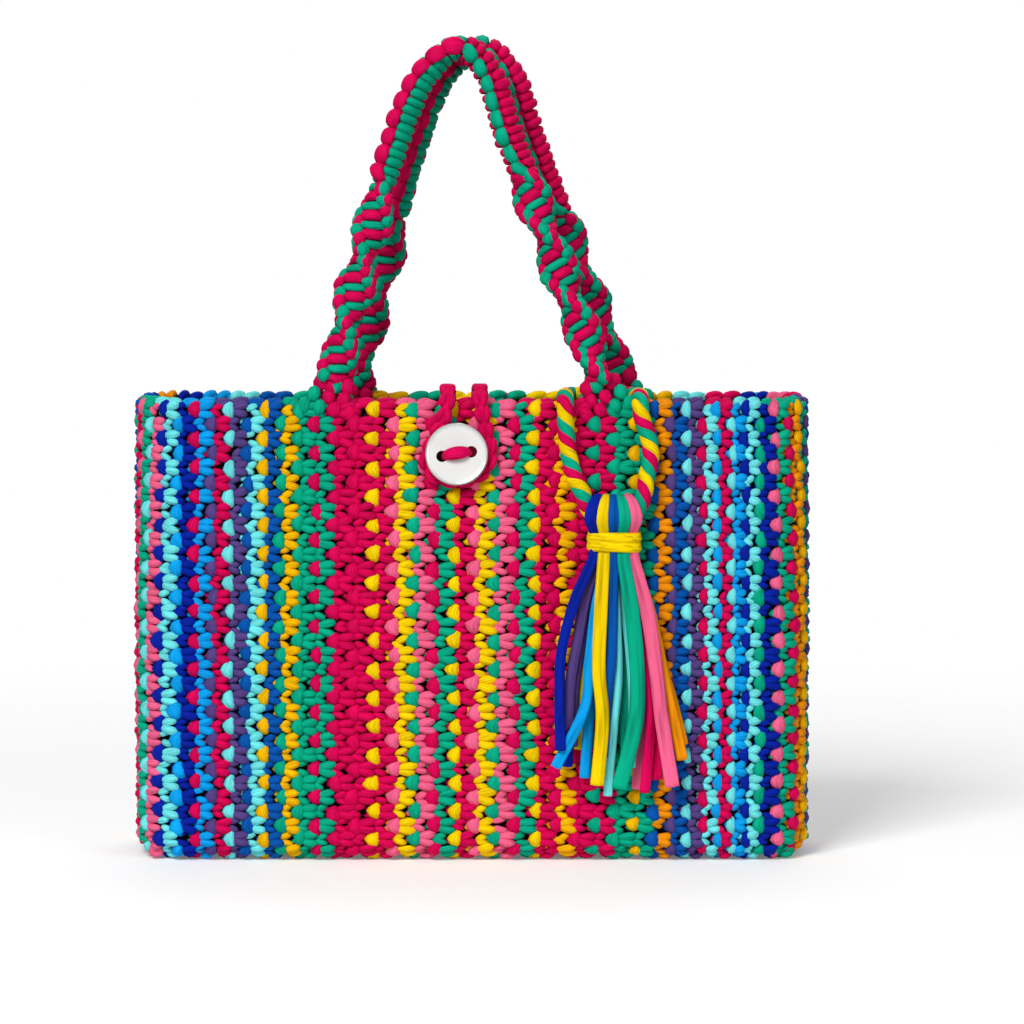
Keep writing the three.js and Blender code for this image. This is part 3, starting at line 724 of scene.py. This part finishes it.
def sennit(middle_x, side, spiral_ends, leans):
    """A handle's line from foot to foot, a step of a millimetre at a time, and how it is rolled"""
    fine = route([(
        middle_x + across * FOOT_SPREAD,
        side * (FOOT_Y + (GRIP_Y - FOOT_Y) * smoothstep(up, 0, 1)),
        BAG_HEIGHT + TOUCH + up * (HANDLE_RISE - TOUCH),
    ) for across, up in HANDLE_LINE], 24)
    length = lengths(fine)[-1]
    s = np.arange(0, length)
    line = at_length(fine, s)
    way = directions(line)
    back = unit(np.array([0, 1.0, 0]) - way * way[:, 1:2])
    left, right = spiral_ends
    right_share = smoothstep(s, GRIP_CHANGE[0] * length, GRIP_CHANGE[1] * length)
    in_grip = smoothstep(s, left - LEAN_EASE, left + LEAN_EASE)
    in_grip = in_grip * smoothstep(length - s, right - LEAN_EASE, right + LEAN_EASE)
    roll = GRIP_ROLLS[0] + (GRIP_ROLLS[1] - GRIP_ROLLS[0]) * right_share
    roll = roll + in_grip * (leans[0] + (leans[1] - leans[0]) * right_share)
    roll = roll + np.pi * np.maximum(left - s, 0) / HALF_TURN
    roll = roll - np.pi * np.maximum(s - (length - right), 0) / HALF_TURN
    return Sennit(line, way, back, roll, length)


def along_sennit(values, s):
    index = np.arange(len(values))
    if values.ndim == 1:
        return np.interp(s, index, values)
    return np.stack([np.interp(s, index, values[:, k]) for k in range(values.shape[1])], axis=-1)


def on_sennit(handle, solid, stations, turn, spiral=True):
    """Copies of a strand on a handle, turned that far round it from its back"""
    stations = np.atleast_1d(np.asarray(stations, float))
    size = 1 + rng.normal(0, SIZE_CHANCE, (len(stations), 1, 3))
    p = solid.points[None] * size + rng.normal(0, HANDLE_MOVE_CHANCE, (len(stations), 1, 3))
    s = stations[:, None] + p[..., 1]
    way = along_sennit(handle.way, s)
    back = unit(along_sennit(handle.back, s))
    wide = np.cross(back, way)
    roll = (along_sennit(handle.roll, s) * spiral + turn)[..., None]
    out = back * np.cos(roll) - wide * np.sin(roll)
    across = wide * np.cos(roll) + back * np.sin(roll)
    beyond = np.minimum(s, 0) + np.maximum(s - handle.length, 0)
    middle = along_sennit(handle.line, s) + way * beyond[..., None]
    return repeated(solid, middle - across * p[..., :1] + out * p[..., 2:])


def leg_knots(handle, parts, left, right):
    """Half knots up each leg: a bar on either side, and beads of the other yarn at its ends"""
    pair = ("crimson", "green")
    legs = (
        np.arange(FOOT_HEIGHT, left, HALF_KNOT_PITCH),
        handle.length - np.arange(FOOT_HEIGHT, right, HALF_KNOT_PITCH),
    )
    for stations in legs:
        for parity in (0, 1):
            for turn, swapped in ((0, 0), (np.pi, 1)):
                bar = pair[(parity + swapped) % 2]
                bead = pair[(parity + swapped + 1) % 2]
                places = stations[parity::2]
                parts[bar].append(on_sennit(handle, LEG_BARS[bar], places, turn))
                parts[bead].append(on_sennit(handle, LEG_BEAD, places, turn))
                parts[bead].append(on_sennit(handle, turned_over(LEG_BEAD), places, turn))


def grip_knots(handle, parts, left, right):
    """Square knots along the grip: two bars on either face, and a bump at either edge"""
    run = handle.length - left - right
    knots = round(run / SQUARE_KNOT_PITCH)
    places = left + run * (np.arange(knots) + 0.5) / knots
    on_left = places < handle.length / 2
    for half, bars, bumps, bar, bump in (
        (on_left, "green", "crimson", grip_bar(4.7), grip_bump(5.2)),
        (~on_left, "crimson", "green", grip_bar(5.8), grip_bump(4.2)),
    ):
        for turn in (0, np.pi):
            for step in (-SQUARE_KNOT_PITCH / 4, SQUARE_KNOT_PITCH / 4):
                parts[bars].append(on_sennit(handle, shifted(bar, step), places[half], turn))
            parts[bumps].append(on_sennit(handle, bump, places[half], turn + np.pi / 2))


def foot_knots(handle, parts):
    """Fat knots round both feet"""
    for up, out, knots in FOOT_ROWS:
        for across, yarn in knots:
            for turn in (0, np.pi):
                parts[yarn].append(on_sennit(handle, foot_knot(across, up, out), 0, turn, False))
                knot = turned_over(foot_knot(-across, up, out))
                parts[yarn].append(on_sennit(handle, knot, handle.length, turn, False))


def handle_core(handle):
    """The cords inside the knots"""
    steps = np.arange(0, handle.length - 1, HANDLE_CORE_STEP)
    way, back, roll = (along_sennit(v, steps) for v in (handle.way, handle.back, handle.roll))
    wide = np.cross(back, way)
    roll = roll[:, None]
    out = back * np.cos(roll) - wide * np.sin(roll)
    return lofted(along_sennit(handle.line, steps), np.cross(out, way), out, *HANDLE_CORE_HALVES, 12)


def knotted_handle(name, middle_x, side, spiral_ends, leans):
    """One handle, a piece for each of its two yarns"""
    handle = sennit(middle_x, side, spiral_ends, leans)
    parts = {"crimson": [], "green": []}
    left, right = (end - SPIRAL_EASE for end in spiral_ends)
    leg_knots(handle, parts, left, right)
    grip_knots(handle, parts, left, right)
    foot_knots(handle, parts)
    parts["crimson"].append(handle_core(handle))
    for yarn, solids in parts.items():
        piece = mesh_piece(f"{name}_{yarn}", [(joined(solids), yarns[yarn])])
        settle(piece, "bag", name)


knotted_handle("handle_front", FRONT_HANDLE_X, -1, FRONT_SPIRALS, FRONT_LEANS)
knotted_handle("handle_back", BACK_HANDLE_X, 1, BACK_SPIRALS, BACK_LEANS)

# Closing loop: a chain stitch from the back of the mouth, round under the button and back


def across_mouth(x):
    return [(x, 25.1, 261), (x, 14, 260.6), (x, 0, 263), (x, -19, 267.7), (x, -28.5, 270.8),
            (x, -35.5, 269.7), (x, -41.6, 265)]


def closing_loop():
    round_button = [
        (-16.5, 2.2, 11), (-20, 0.6, 20), (-24, 0.3, 28), (-26, 0.3, 35), (-22.5, 0.3, 42.5),
        (-15.5, 0.3, 45.6), (-8, 0.3, 46), (0, 0.3, 45), (7.4, 0.3, 40), (10.2, 0.3, 31),
        (8.8, 0.6, 21), (6.4, 2.2, 11),
    ]
    line = route([
        *across_mouth(-14),
        *(on_face(x, LOOP_DIAMETER / 2 + TOUCH + off, BAG_HEIGHT - drop) for x, off, drop in round_button),
        *across_mouth(4.5)[::-1],
    ])
    length = lengths(line)[-1]
    stitches = round(length / STITCH_PITCH)
    line = at_length(line, np.linspace(0, length, round(length) + 1))
    out = carried_axis(line, (0, 0, 1))
    way = directions(line)
    stitch = strand(
        [(0.3, -5.8, -0.6), (1.7, -2.4, 1.6), (2.7, 2.0, 2.0), (1.6, 5.4, -0.8)],
        [0.9, 2.0, 2.4, 1.0], [1.0, 2.1, 2.3, 1.0], 8, 6)
    crest = strand(
        [(0, -5.4, -0.6), (0, -2.2, 0.9), (0, 2.2, 0.9), (0, 5.4, -0.6)],
        [1.6, 4.0, 4.0, 1.6], [1.4, 2.8, 2.8, 1.4], 10, 6)
    places = (np.arange(stitches) + 0.5) * length / stitches
    half = len(line) // 2
    crests = np.array([np.argmax(line[:half, 2]), half + np.argmax(line[half:, 2])], float)
    solids = []
    for hand, solid, stations in ((1, stitch, places), (-1, stitch, places), (1, crest, crests)):
        points = solid.points * [hand, 1, 1]
        p = points[None] * (1 + rng.normal(0, LOOP_SIZE_CHANCE, (len(stations), 1, 3)))
        s = np.clip(stations[:, None] + p[..., 1], 0, length)
        normal = unit(along_sennit(out, s))
        side = np.cross(along_sennit(way, s), normal)
        moved = along_sennit(line, s) + side * p[..., :1] + normal * p[..., 2:]
        mirrored = solid._replace(quads=solid.quads[:, ::hand], tris=solid.tris[:, ::hand])
        solids.append(repeated(mirrored, moved))
    normal = out[::3]
    solids.append(lofted(line[::3], np.cross(normal, way[::3]), normal, *LOOP_CORE_HALVES, 10))
    piece = mesh_piece("loop_chain", [(joined(solids), yarns["crimson"])])
    settle(piece, "bag", "closing_loop")


closing_loop()

# Button and its tape


def button_place(points):
    """From the button's own axes, with its front towards -Y, to its place on the bag"""
    middle = on_face(BUTTON_X, 0, BUTTON_Z)
    step = 4
    rise = on_face(BUTTON_X, 0, BUTTON_Z + step) - on_face(BUTTON_X, 0, BUTTON_Z - step)
    lean = -math.atan(rise[1] / (2 * step))
    turn = Matrix.Rotation(lean, 3, "X") @ Matrix.Rotation(BUTTON_ROLL, 3, "Y")
    return middle + np.asarray(points) @ np.array(turn).T


def circle(radius, y):
    """A ring of points round the button's axis"""
    turn = round_angles(96)
    return np.stack([radius * np.cos(turn), np.full(len(turn), y), radius * np.sin(turn)], axis=1)


def drill(piece, side):
    """Cuts one of the two holes"""
    ys = (HOLE_CUT_PAST - BUTTON_OFF, -BUTTON_OFF - BUTTON_THICKNESS - HOLE_CUT_PAST)
    hole = np.array([circle(HOLE_RADIUS, y) for y in ys]) + [side * HOLE_SPACING / 2, 0, 0]
    cutter = ring_solid(hole, hole.mean(axis=1), np.arange(4.0), 1)
    cutter = mesh_piece("hole", [(cutter._replace(points=button_place(cutter.points)), white)])
    cut = piece.modifiers.new("hole", "BOOLEAN")
    cut.object = cutter
    cut.solver = "EXACT"
    bpy.context.view_layer.update()
    drilled = piece.evaluated_get(bpy.context.evaluated_depsgraph_get())
    piece.data = bpy.data.meshes.new_from_object(drilled)
    piece.modifiers.clear()
    bpy.data.objects.remove(cutter)


def button():
    """A turned disc with a raised rim and two holes"""
    back = -BUTTON_OFF
    front = back - BUTTON_THICKNESS
    face = front + BUTTON_FACE_DROP
    radius = BUTTON_RADIUS
    profile = [
        (radius - 1.2, back), (radius - 0.4, back - 0.3), (radius, back - 1.1), (radius, front + 1.3),
        (radius - 0.35, front + 0.4), (radius - 1.0, front), (radius - 1.6, front + 0.12),
        (radius - 2.2, face - 0.1), (radius - 2.9, face), (radius * 0.5, face + 0.1),
    ]
    rings = np.array([circle(r, y) for r, y in profile])
    tips = np.array([(0, back, 0), (0, face + 0.1, 0)])
    run = lengths(np.concatenate([tips[:1], rings[:, 0], tips[1:]]))
    disc = ring_solid(rings, tips, run, 1)
    piece = mesh_piece("button_disc", [(disc._replace(points=button_place(disc.points)), white)])
    for side in (-1, 1):
        drill(piece, side)
    mesh = piece.data
    mesh.materials.append(button_rim)
    middle = Vector(button_place([(0, 0, 0)])[0] * MM)
    axis = Vector(button_place([(0, -1, 0)])[0] * MM) - middle
    axis.normalize()
    for facet in mesh.polygons:
        away = facet.center - middle
        across = (away - axis * away.dot(axis)).length / MM
        facet.material_index = int(across > radius - BUTTON_RIM_WIDTH)
    mesh.shade_smooth()
    mesh.set_sharp_from_angle(angle=BUTTON_SHARP_EDGE)
    settle(piece, "bag", "button")


def button_tape():
    """The tape's bar between the holes, with both its ends going in"""
    half = HOLE_SPACING / 2
    front = -BUTTON_OFF - BUTTON_THICKNESS - TOUCH - TAPE_THICKNESS / 2
    bend = TAPE_THICKNESS
    foot = half - TAPE_INSET
    arch = [
        (-foot, -2 * TOUCH), (-foot, front / 2), (-foot, front + bend), (bend - foot, front),
        (0, front - 0.5),
    ]
    fine = route([(x, y, 0) for x, y in arch + [(-x, y) for x, y in arch[-2::-1]]])
    line = at_length(fine, np.linspace(0, lengths(fine)[-1], 48))
    side = np.tile([0, 0, 1.0], (len(line), 1))
    out = np.cross(directions(line), side)
    angle = round_angles(14)
    folds = 1 + 0.1 * np.cos(3 * angle + 0.7) + 0.05 * np.cos(5 * angle)
    width = TAPE_END_HALF + TAPE_SWELL * np.clip(1 - (line[1:-1, 0] / (half - 1)) ** 2, 0, 1)
    solid = lofted(line, side, out, width, TAPE_THICKNESS / 2, 14, folds)
    piece = mesh_piece("tape_bar", [(solid._replace(points=button_place(solid.points)), yarns["crimson"])])
    settle(piece, "bag", "button_tape")


button()
button_tape()

# Tassel: the rope round the handle's foot, ten strands folded over it, and the wrap


def rope_line():
    """From behind the handle's foot, over the rim, down through the tassel's head and back"""
    def half(side, legs):
        x = ROPE_X + side * ROPE_HALF_SPAN
        inner = x - side * ROPE_TURN
        bend_x = TASSEL_X + side * ROPE_BEND_FLAT
        return [
            (ROPE_X + side * TOUCH, ROPE_Y, ROPE_Z), (inner, ROPE_Y, ROPE_Z),
            (inner + side * ROPE_TURN * DIAGONAL, ROPE_Y - ROPE_TURN * (1 - DIAGONAL), ROPE_Z),
            (x, ROPE_Y - ROPE_TURN, ROPE_Z), (x, -MOUTH_DEPTH / 2, ROPE_Z),
            (x, -MOUTH_DEPTH / 2 - ROPE_OVER_RIM * DIAGONAL, ROPE_Z - ROPE_OVER_RIM * (1 - DIAGONAL)),
            *(on_face(leg_x, off, BAG_HEIGHT - drop) for leg_x, off, drop in legs),
            on_face(bend_x + side * ROPE_BEND, BEND_OFF, BEND_Z + ROPE_BEND),
            on_face(bend_x + side * ROPE_BEND * DIAGONAL, BEND_OFF, BEND_Z + ROPE_BEND * (1 - DIAGONAL)),
            on_face(bend_x, BEND_OFF, BEND_Z),
        ]

    right = [(97.5, 9, 11), (101, 8.6, 21), (102.4, 8.6, 32), (100, 10, 43)]
    left = [(53.6, 9, 11), (54.2, 8.6, 21), (55.6, 8.6, 32), (58.2, 10, 43)]
    return route([*half(1, right), *half(-1, left)[::-1]])


def tassel_rope():
    """Three plies laid round each other"""
    line = rope_line()
    length = lengths(line)[-1]
    line = at_length(line, np.linspace(0, length, round(length / 0.9)))
    out = carried_axis(line, (0, 0, 1))
    way = directions(line)
    side = np.cross(out, way)
    turn = -2 * np.pi * lengths(line) / ROPE_LAY
    plies = []
    for k, yarn in enumerate(("crimson", "green", "yellow")):
        angle = (turn + 2 * np.pi * k / 3)[:, None]
        spoke = side * np.cos(angle) + out * np.sin(angle)
        ply = line + PLY_OFF * spoke
        ply_way = directions(ply)
        across = unit(np.cross(spoke, ply_way))
        flat = np.cross(ply_way, across)
        plies.append((lofted(ply, across, flat, PLY_WIDTH / 2, PLY_THICKNESS / 2, 10), yarns[yarn]))
    piece = settle(mesh_piece("rope_plies", plies), "tassel", "tassel_rope")


def rope_rise(across):
    """How far the rope's bend rises that far from its middle"""
    slope = np.arcsin(max(across - ROPE_BEND_FLAT, 0) / ROPE_BEND)
    return ROPE_BEND * (1 - np.cos(slope)) + ROPE_DIAMETER / 2 * (1 / np.cos(slope) - 1)


# A layer of strands: its distance off the tassel's middle at the fold, its bulge there, its distance where
# bound, its strands' pitch and width at fold, head and wrap, and how its outermost are tucked in
Layer = namedtuple("Layer", "fold bulk bound pitch width corner_tuck")
OUTER = Layer(FOLD_OUTER, 1.2, BOUND_OUTER, (4.1, 6.5, 5.3), (5.4, 7.7, 6.3), 0.85)
INNER = Layer(FOLD_INNER, 0, BOUND_INNER, (3.4, 4.6, 3.7), (4.2, 5, 3.8), 1)
# Each strand's layer, place and width, then for its front and back end how far aside it is halfway down,
# lower and at its tip, how long it hangs, and how many layers off the bag it hangs
STRANDS = {
    "navy": (OUTER, 0, 6.0, (-30, -30.6, -30, 111, 3), (-21, -24, -26, 122, 0)),
    "yellow": (OUTER, 1, 7.6, (-8.5, -6.4, -9.2, 131, 3.2), (-14, -17, -18.5, 112, 0)),
    "blue": (OUTER, 2, 6.8, (-1.2, -4, -6.5, 115, 2.4), (-1, -2.7, -4, 125, 0)),
    "green": (OUTER, 3, 8.6, (13.3, 12.8, 3.6, 133, 3.1), (9.5, 8.5, 8.5, 122, 0)),
    "pink": (OUTER, 4, 8.2, (24.6, 27.7, 33.8, 132, 3), (20, 18.5, 15, 135, 0.4)),
    "purple": (INNER, 0, 6.0, (-20.9, -24.4, -25.4, 100, 1.7), (-19, -22, -23, 110, 0.8)),
    "sky": (INNER, 1, 6.0, (-13.4, -15.6, -33, 121, 2.4), (-11, -13.5, -16, 128, 1)),
    "aqua": (INNER, 2, 5.2, (2.6, 0.4, -2.9, 138, 1.7), (10.3, 11.5, 10.5, 122, 1)),
    "crimson": (INNER, 3, 6.0, (19.8, 21.5, 18.2, 136, 2), (18, 22.5, 25.5, 129, 1)),
    "orange": (INNER, 4, 6.4, (27, 32.5, 40, 117, 2), (24, 32, 40.5, 109, 1)),
}


def strand_rows(layer, index, width, sign, end):
    """One half of a strand from the top of its fold: rows of aside, off, height, width and thickness"""
    place = index - 2
    fold_u, head_u, bound_u = (pitch * place for pitch in layer.pitch)
    fold_w, head_w, bound_w = layer.width
    edge = abs(place) / 2
    bulk = layer.bulk * (1 - edge * edge)
    bound = layer.bound * (layer.corner_tuck if edge == 1 else 1)
    arch = layer.fold + bulk
    lift = rope_rise(abs(fold_u) + fold_w / 2) / 2
    mid_u, lower_u, tip_u, hangs, depth = end
    hang = INNER.bound + LAYER_CLEARANCE + depth * LAYER_PITCH
    top = WRAP_TOP + WRAP_RISE
    low = WRAP_TOP - WRAP_HEIGHT
    fan_u = bound_u + FAN_ASIDE * (mid_u - bound_u)
    start = BEND_OFF + sign * bound
    fan_off = start + FAN_OFF * (hang - start)
    return [
        (fold_u, BEND_OFF, BEND_Z + lift + arch, fold_w, BOUND_THICKNESS),
        ((fold_u + head_u) / 2, BEND_OFF + sign * arch * DIAGONAL, BEND_Z + lift + arch * DIAGONAL,
         (fold_w + head_w) / 2, BOUND_THICKNESS),
        (head_u, BEND_OFF + sign * layer.fold, BEND_Z + lift / 2, head_w, BOUND_THICKNESS),
        (bound_u, BEND_OFF + sign * bound, top, bound_w, BOUND_THICKNESS),
        (bound_u, BEND_OFF + sign * bound, top - WRAP_HEIGHT, (bound_w + width) / 2, BOUND_THICKNESS),
        (fan_u, fan_off, low - FAN_DOWN * hangs, width, STRAND_THICKNESS),
        (mid_u, hang, low - hangs / 2, width, STRAND_THICKNESS),
        (lower_u, hang, low - hangs * (1 + LOWER_BEND) / 2, width, STRAND_THICKNESS),
        (tip_u, hang, low - hangs, width, TIP_THINNING * STRAND_THICKNESS),
    ]


def tassel_strand(name, yarn, rows):
    """One end of a strand: a flat strip of jersey, rolled in a little along its edges"""
    rows = np.array(rows)
    points = [on_face(TASSEL_X + u, off, z) for u, off, z in rows[:, :3]]
    fine = route(points, 12)
    length = lengths(fine)[-1]
    knots = lengths(fine)[::12]
    where = np.concatenate([[0], np.linspace(0.4, length - 0.5, round(length / STRAND_STEP)), [length]])
    line = at_length(fine, where)
    width = np.interp(where, knots, rows[:, 3])
    thick = np.interp(where, knots, rows[:, 4])
    way = directions(line)
    side = unit(np.array([1.0, 0, 0]) - way * way[:, :1])
    out = np.cross(way, side)
    angle = round_angles(STRAND_SIDES)
    phase = rng.uniform(0, 2 * np.pi, 3)
    drift = where[1:-1, None] / length
    groove = np.pi / 2 + rng.uniform(-0.5, 0.5) + 0.5 * np.sin(4 * drift + phase[0])
    near = (angle - groove + np.pi) % (2 * np.pi) - np.pi
    folds = 1 - 0.3 * np.exp(-((near / 0.3) ** 2)) + 0.07 * np.cos(3 * angle + phase[1] + 5 * drift)
    folds = folds + 0.05 * np.cos(5 * angle + phase[2] + 9 * drift)
    solid = lofted(line, side, out, width[1:-1] / 2, thick[1:-1] / 2, STRAND_SIDES, folds)
    solid = solid._replace(along=LONG_CREASE * solid.along, around=WIDE_CREASE * solid.around)
    piece = settle(mesh_piece(name, [(solid, yarns[yarn])]), "tassel", f"tassel_strand_{yarn}")


def tassel_wrap():
    """Two turns of tape round the tassel's neck"""
    half_width, half_thick = WRAP_HALVES
    middle = on_face(TASSEL_X + WRAP_ASIDE, BEND_OFF, WRAP_TOP + WRAP_RISE - WRAP_HEIGHT / 2)
    turns = []
    for drop, tilt, roll in ((2.6, 0.02, 0.0), (-2.4, -0.035, 0.5)):
        angle = round_angles(56)
        x = half_width * np.sign(np.cos(angle)) * np.abs(np.cos(angle)) ** WRAP_SQUARENESS
        y = half_thick * np.sign(np.sin(angle)) * np.abs(np.sin(angle)) ** WRAP_SQUARENESS
        line = middle + np.stack([x, y, drop + tilt * x + 0.25 * np.sin(3 * angle + roll)], axis=1)
        turns.append((tape_ring(line), yarns["yellow"]))
    return settle(mesh_piece("wrap_turns", turns), "tassel", "tassel_wrap")


def tape_ring(line):
    """A closed ring of upright tape"""
    half_height, half_thick = TAPE_RING_HALVES
    sides = 14
    count = len(line)
    way = unit(np.roll(line, -1, axis=0) - np.roll(line, 1, axis=0))
    up = np.tile([0, 0, 1.0], (count, 1))
    out = unit(np.cross(way, up))
    angle = round_angles(sides)
    turn = round_angles(count)[:, None]
    folds = 1 + 0.12 * np.cos(3 * angle + 2 * np.sin(turn)) + 0.1 * np.cos(5 * angle + 3 * np.cos(turn))
    rings = line[:, None] + (folds * half_height * np.cos(angle))[..., None] * up[:, None]
    rings = rings + (folds * half_thick * np.sin(angle))[..., None] * out[:, None]
    ring, k = np.meshgrid(np.arange(count), np.arange(sides), indexing="ij")
    nxt = (ring + 1) % count
    quads = np.stack([
        ring * sides + k, nxt * sides + k, nxt * sides + (k + 1) % sides, ring * sides + (k + 1) % sides,
    ], axis=-1).reshape(-1, 4)
    run = np.repeat(np.arange(count) * 1.5, sides)
    around = np.tile(np.abs(sides // 2 - k[0]), count)
    return Solid(rings.reshape(-1, 3), quads, np.zeros((0, 3), int), run, around)


tassel_rope()
wrap = tassel_wrap()
for yarn, (layer, index, width, front, back) in STRANDS.items():
    tassel_strand(f"strand_{yarn}_front", yarn, strand_rows(layer, index, width, 1, front))
    tassel_strand(f"strand_{yarn}_back", yarn, strand_rows(layer, index, width, -1, back))

# Camera, stage and light

CAMERA_DISTANCE = 2.75
CAMERA_HEIGHT = 0.437
AIM_HEIGHT = 0.236
LENS = 166.3
FRAME_SHIFT = (0.039, -0.064)
FLOOR_RADIUS = 1.3
FLOOR_FADE = (0.17, 0.75)
FLOOR_GLOW = 0.16
WORLD_LIGHT = 0.14
LAMP_AIM = (0, 0, 0.2)
# Each lamp's name, place and size in metres, and its power in watts
LAMPS = [
    ("key", (-0.85, -2.0, 1.9), 1.1, 64),
    ("fill", (1.6, -1.6, 0.9), 1.4, 11),
    ("top", (0.2, 1.5, 2.0), 2.0, 17),
]


def camera():
    data = bpy.data.cameras.new("camera")
    eye = placed("camera", data)
    eye.location = (0, -CAMERA_DISTANCE, CAMERA_HEIGHT)
    aim = Vector((0, 0, AIM_HEIGHT)) - eye.location
    eye.rotation_euler = aim.to_track_quat("-Z", "Y").to_euler()
    data.lens = LENS
    data.shift_x, data.shift_y = FRAME_SHIFT
    bpy.context.scene.camera = eye


def lamp(name, place, size, power):
    data = bpy.data.lights.new(name, "AREA")
    data.size = size
    data.energy = power
    light = placed(name, data)
    light.location = place
    light.rotation_euler = (Vector(LAMP_AIM) - Vector(place)).to_track_quat("-Z", "Y").to_euler()


def seen_directly(nodes, links):
    """1 where a surface is seen, also in a reflection or through glass, and 0 where it only lights"""
    path = nodes.new("ShaderNodeLightPath")
    seen = path.outputs["Is Camera Ray"]
    for ray in ("Is Glossy Ray", "Is Transmission Ray"):
        either = nodes.new("ShaderNodeMath")
        either.operation = "MAXIMUM"
        links.new(seen, either.inputs[0])
        links.new(path.outputs[ray], either.inputs[1])
        seen = either.outputs["Value"]
    return seen


def stage():
    """A round pale floor that fades into the white backdrop"""
    mesh = bpy.data.meshes.new("floor")
    turn = round_angles(64)
    rim = [(FLOOR_RADIUS * c, FLOOR_RADIUS * s, 0) for c, s in zip(np.cos(turn), np.sin(turn))]
    mesh.from_pydata(rim, [], [range(64)])
    floor = placed("floor", mesh)
    material, nodes, links, shader = with_nodes("floor")
    set_inputs(shader, {"Base Color": (0.97, 0.97, 0.97, 1), "Roughness": 0.9})
    set_inputs(shader, {"Emission Color": (1, 1, 1, 1)})
    glow = nodes.new("ShaderNodeMath")
    glow.operation = "MULTIPLY"
    glow.inputs[1].default_value = FLOOR_GLOW
    links.new(seen_directly(nodes, links), glow.inputs[0])
    links.new(glow.outputs["Value"], shader.inputs["Emission Strength"])
    place = nodes.new("ShaderNodeTexCoord")
    away = nodes.new("ShaderNodeVectorMath")
    away.operation = "LENGTH"
    links.new(place.outputs["Object"], away.inputs[0])
    fade = nodes.new("ShaderNodeMapRange")
    fade.interpolation_type = "SMOOTHSTEP"
    near, far = (share * FLOOR_RADIUS for share in FLOOR_FADE)
    set_inputs(fade, {"From Min": near, "From Max": far})
    links.new(away.outputs["Value"], fade.inputs["Value"])
    clear = nodes.new("ShaderNodeBsdfTransparent")
    mix = nodes.new("ShaderNodeMixShader")
    links.new(fade.outputs["Result"], mix.inputs["Fac"])
    links.new(shader.outputs["BSDF"], mix.inputs[1])
    links.new(clear.outputs["BSDF"], mix.inputs[2])
    links.new(mix.outputs["Shader"], nodes["Material Output"].inputs["Surface"])
    mesh.materials.append(material)


def surroundings():
    world = bpy.data.worlds.new("studio")
    bpy.context.scene.world = world
    world.use_nodes = True
    nodes, links = world.node_tree.nodes, world.node_tree.links
    light = nodes["Background"]
    light.inputs["Color"].default_value = (1, 1, 1, 1)
    light.inputs["Strength"].default_value = WORLD_LIGHT
    seen = nodes.new("ShaderNodeBackground")
    seen.inputs["Color"].default_value = (1, 1, 1, 1)
    mix = nodes.new("ShaderNodeMixShader")
    links.new(seen_directly(nodes, links), mix.inputs["Fac"])
    links.new(light.outputs["Background"], mix.inputs[1])
    links.new(seen.outputs["Background"], mix.inputs[2])
    links.new(mix.outputs["Shader"], nodes["World Output"].inputs["Surface"])


camera()
stage()
surroundings()
for name, place, size, power in LAMPS:
    lamp(name, place, size, power)
bpy.context.scene.view_settings.view_transform = "Standard"
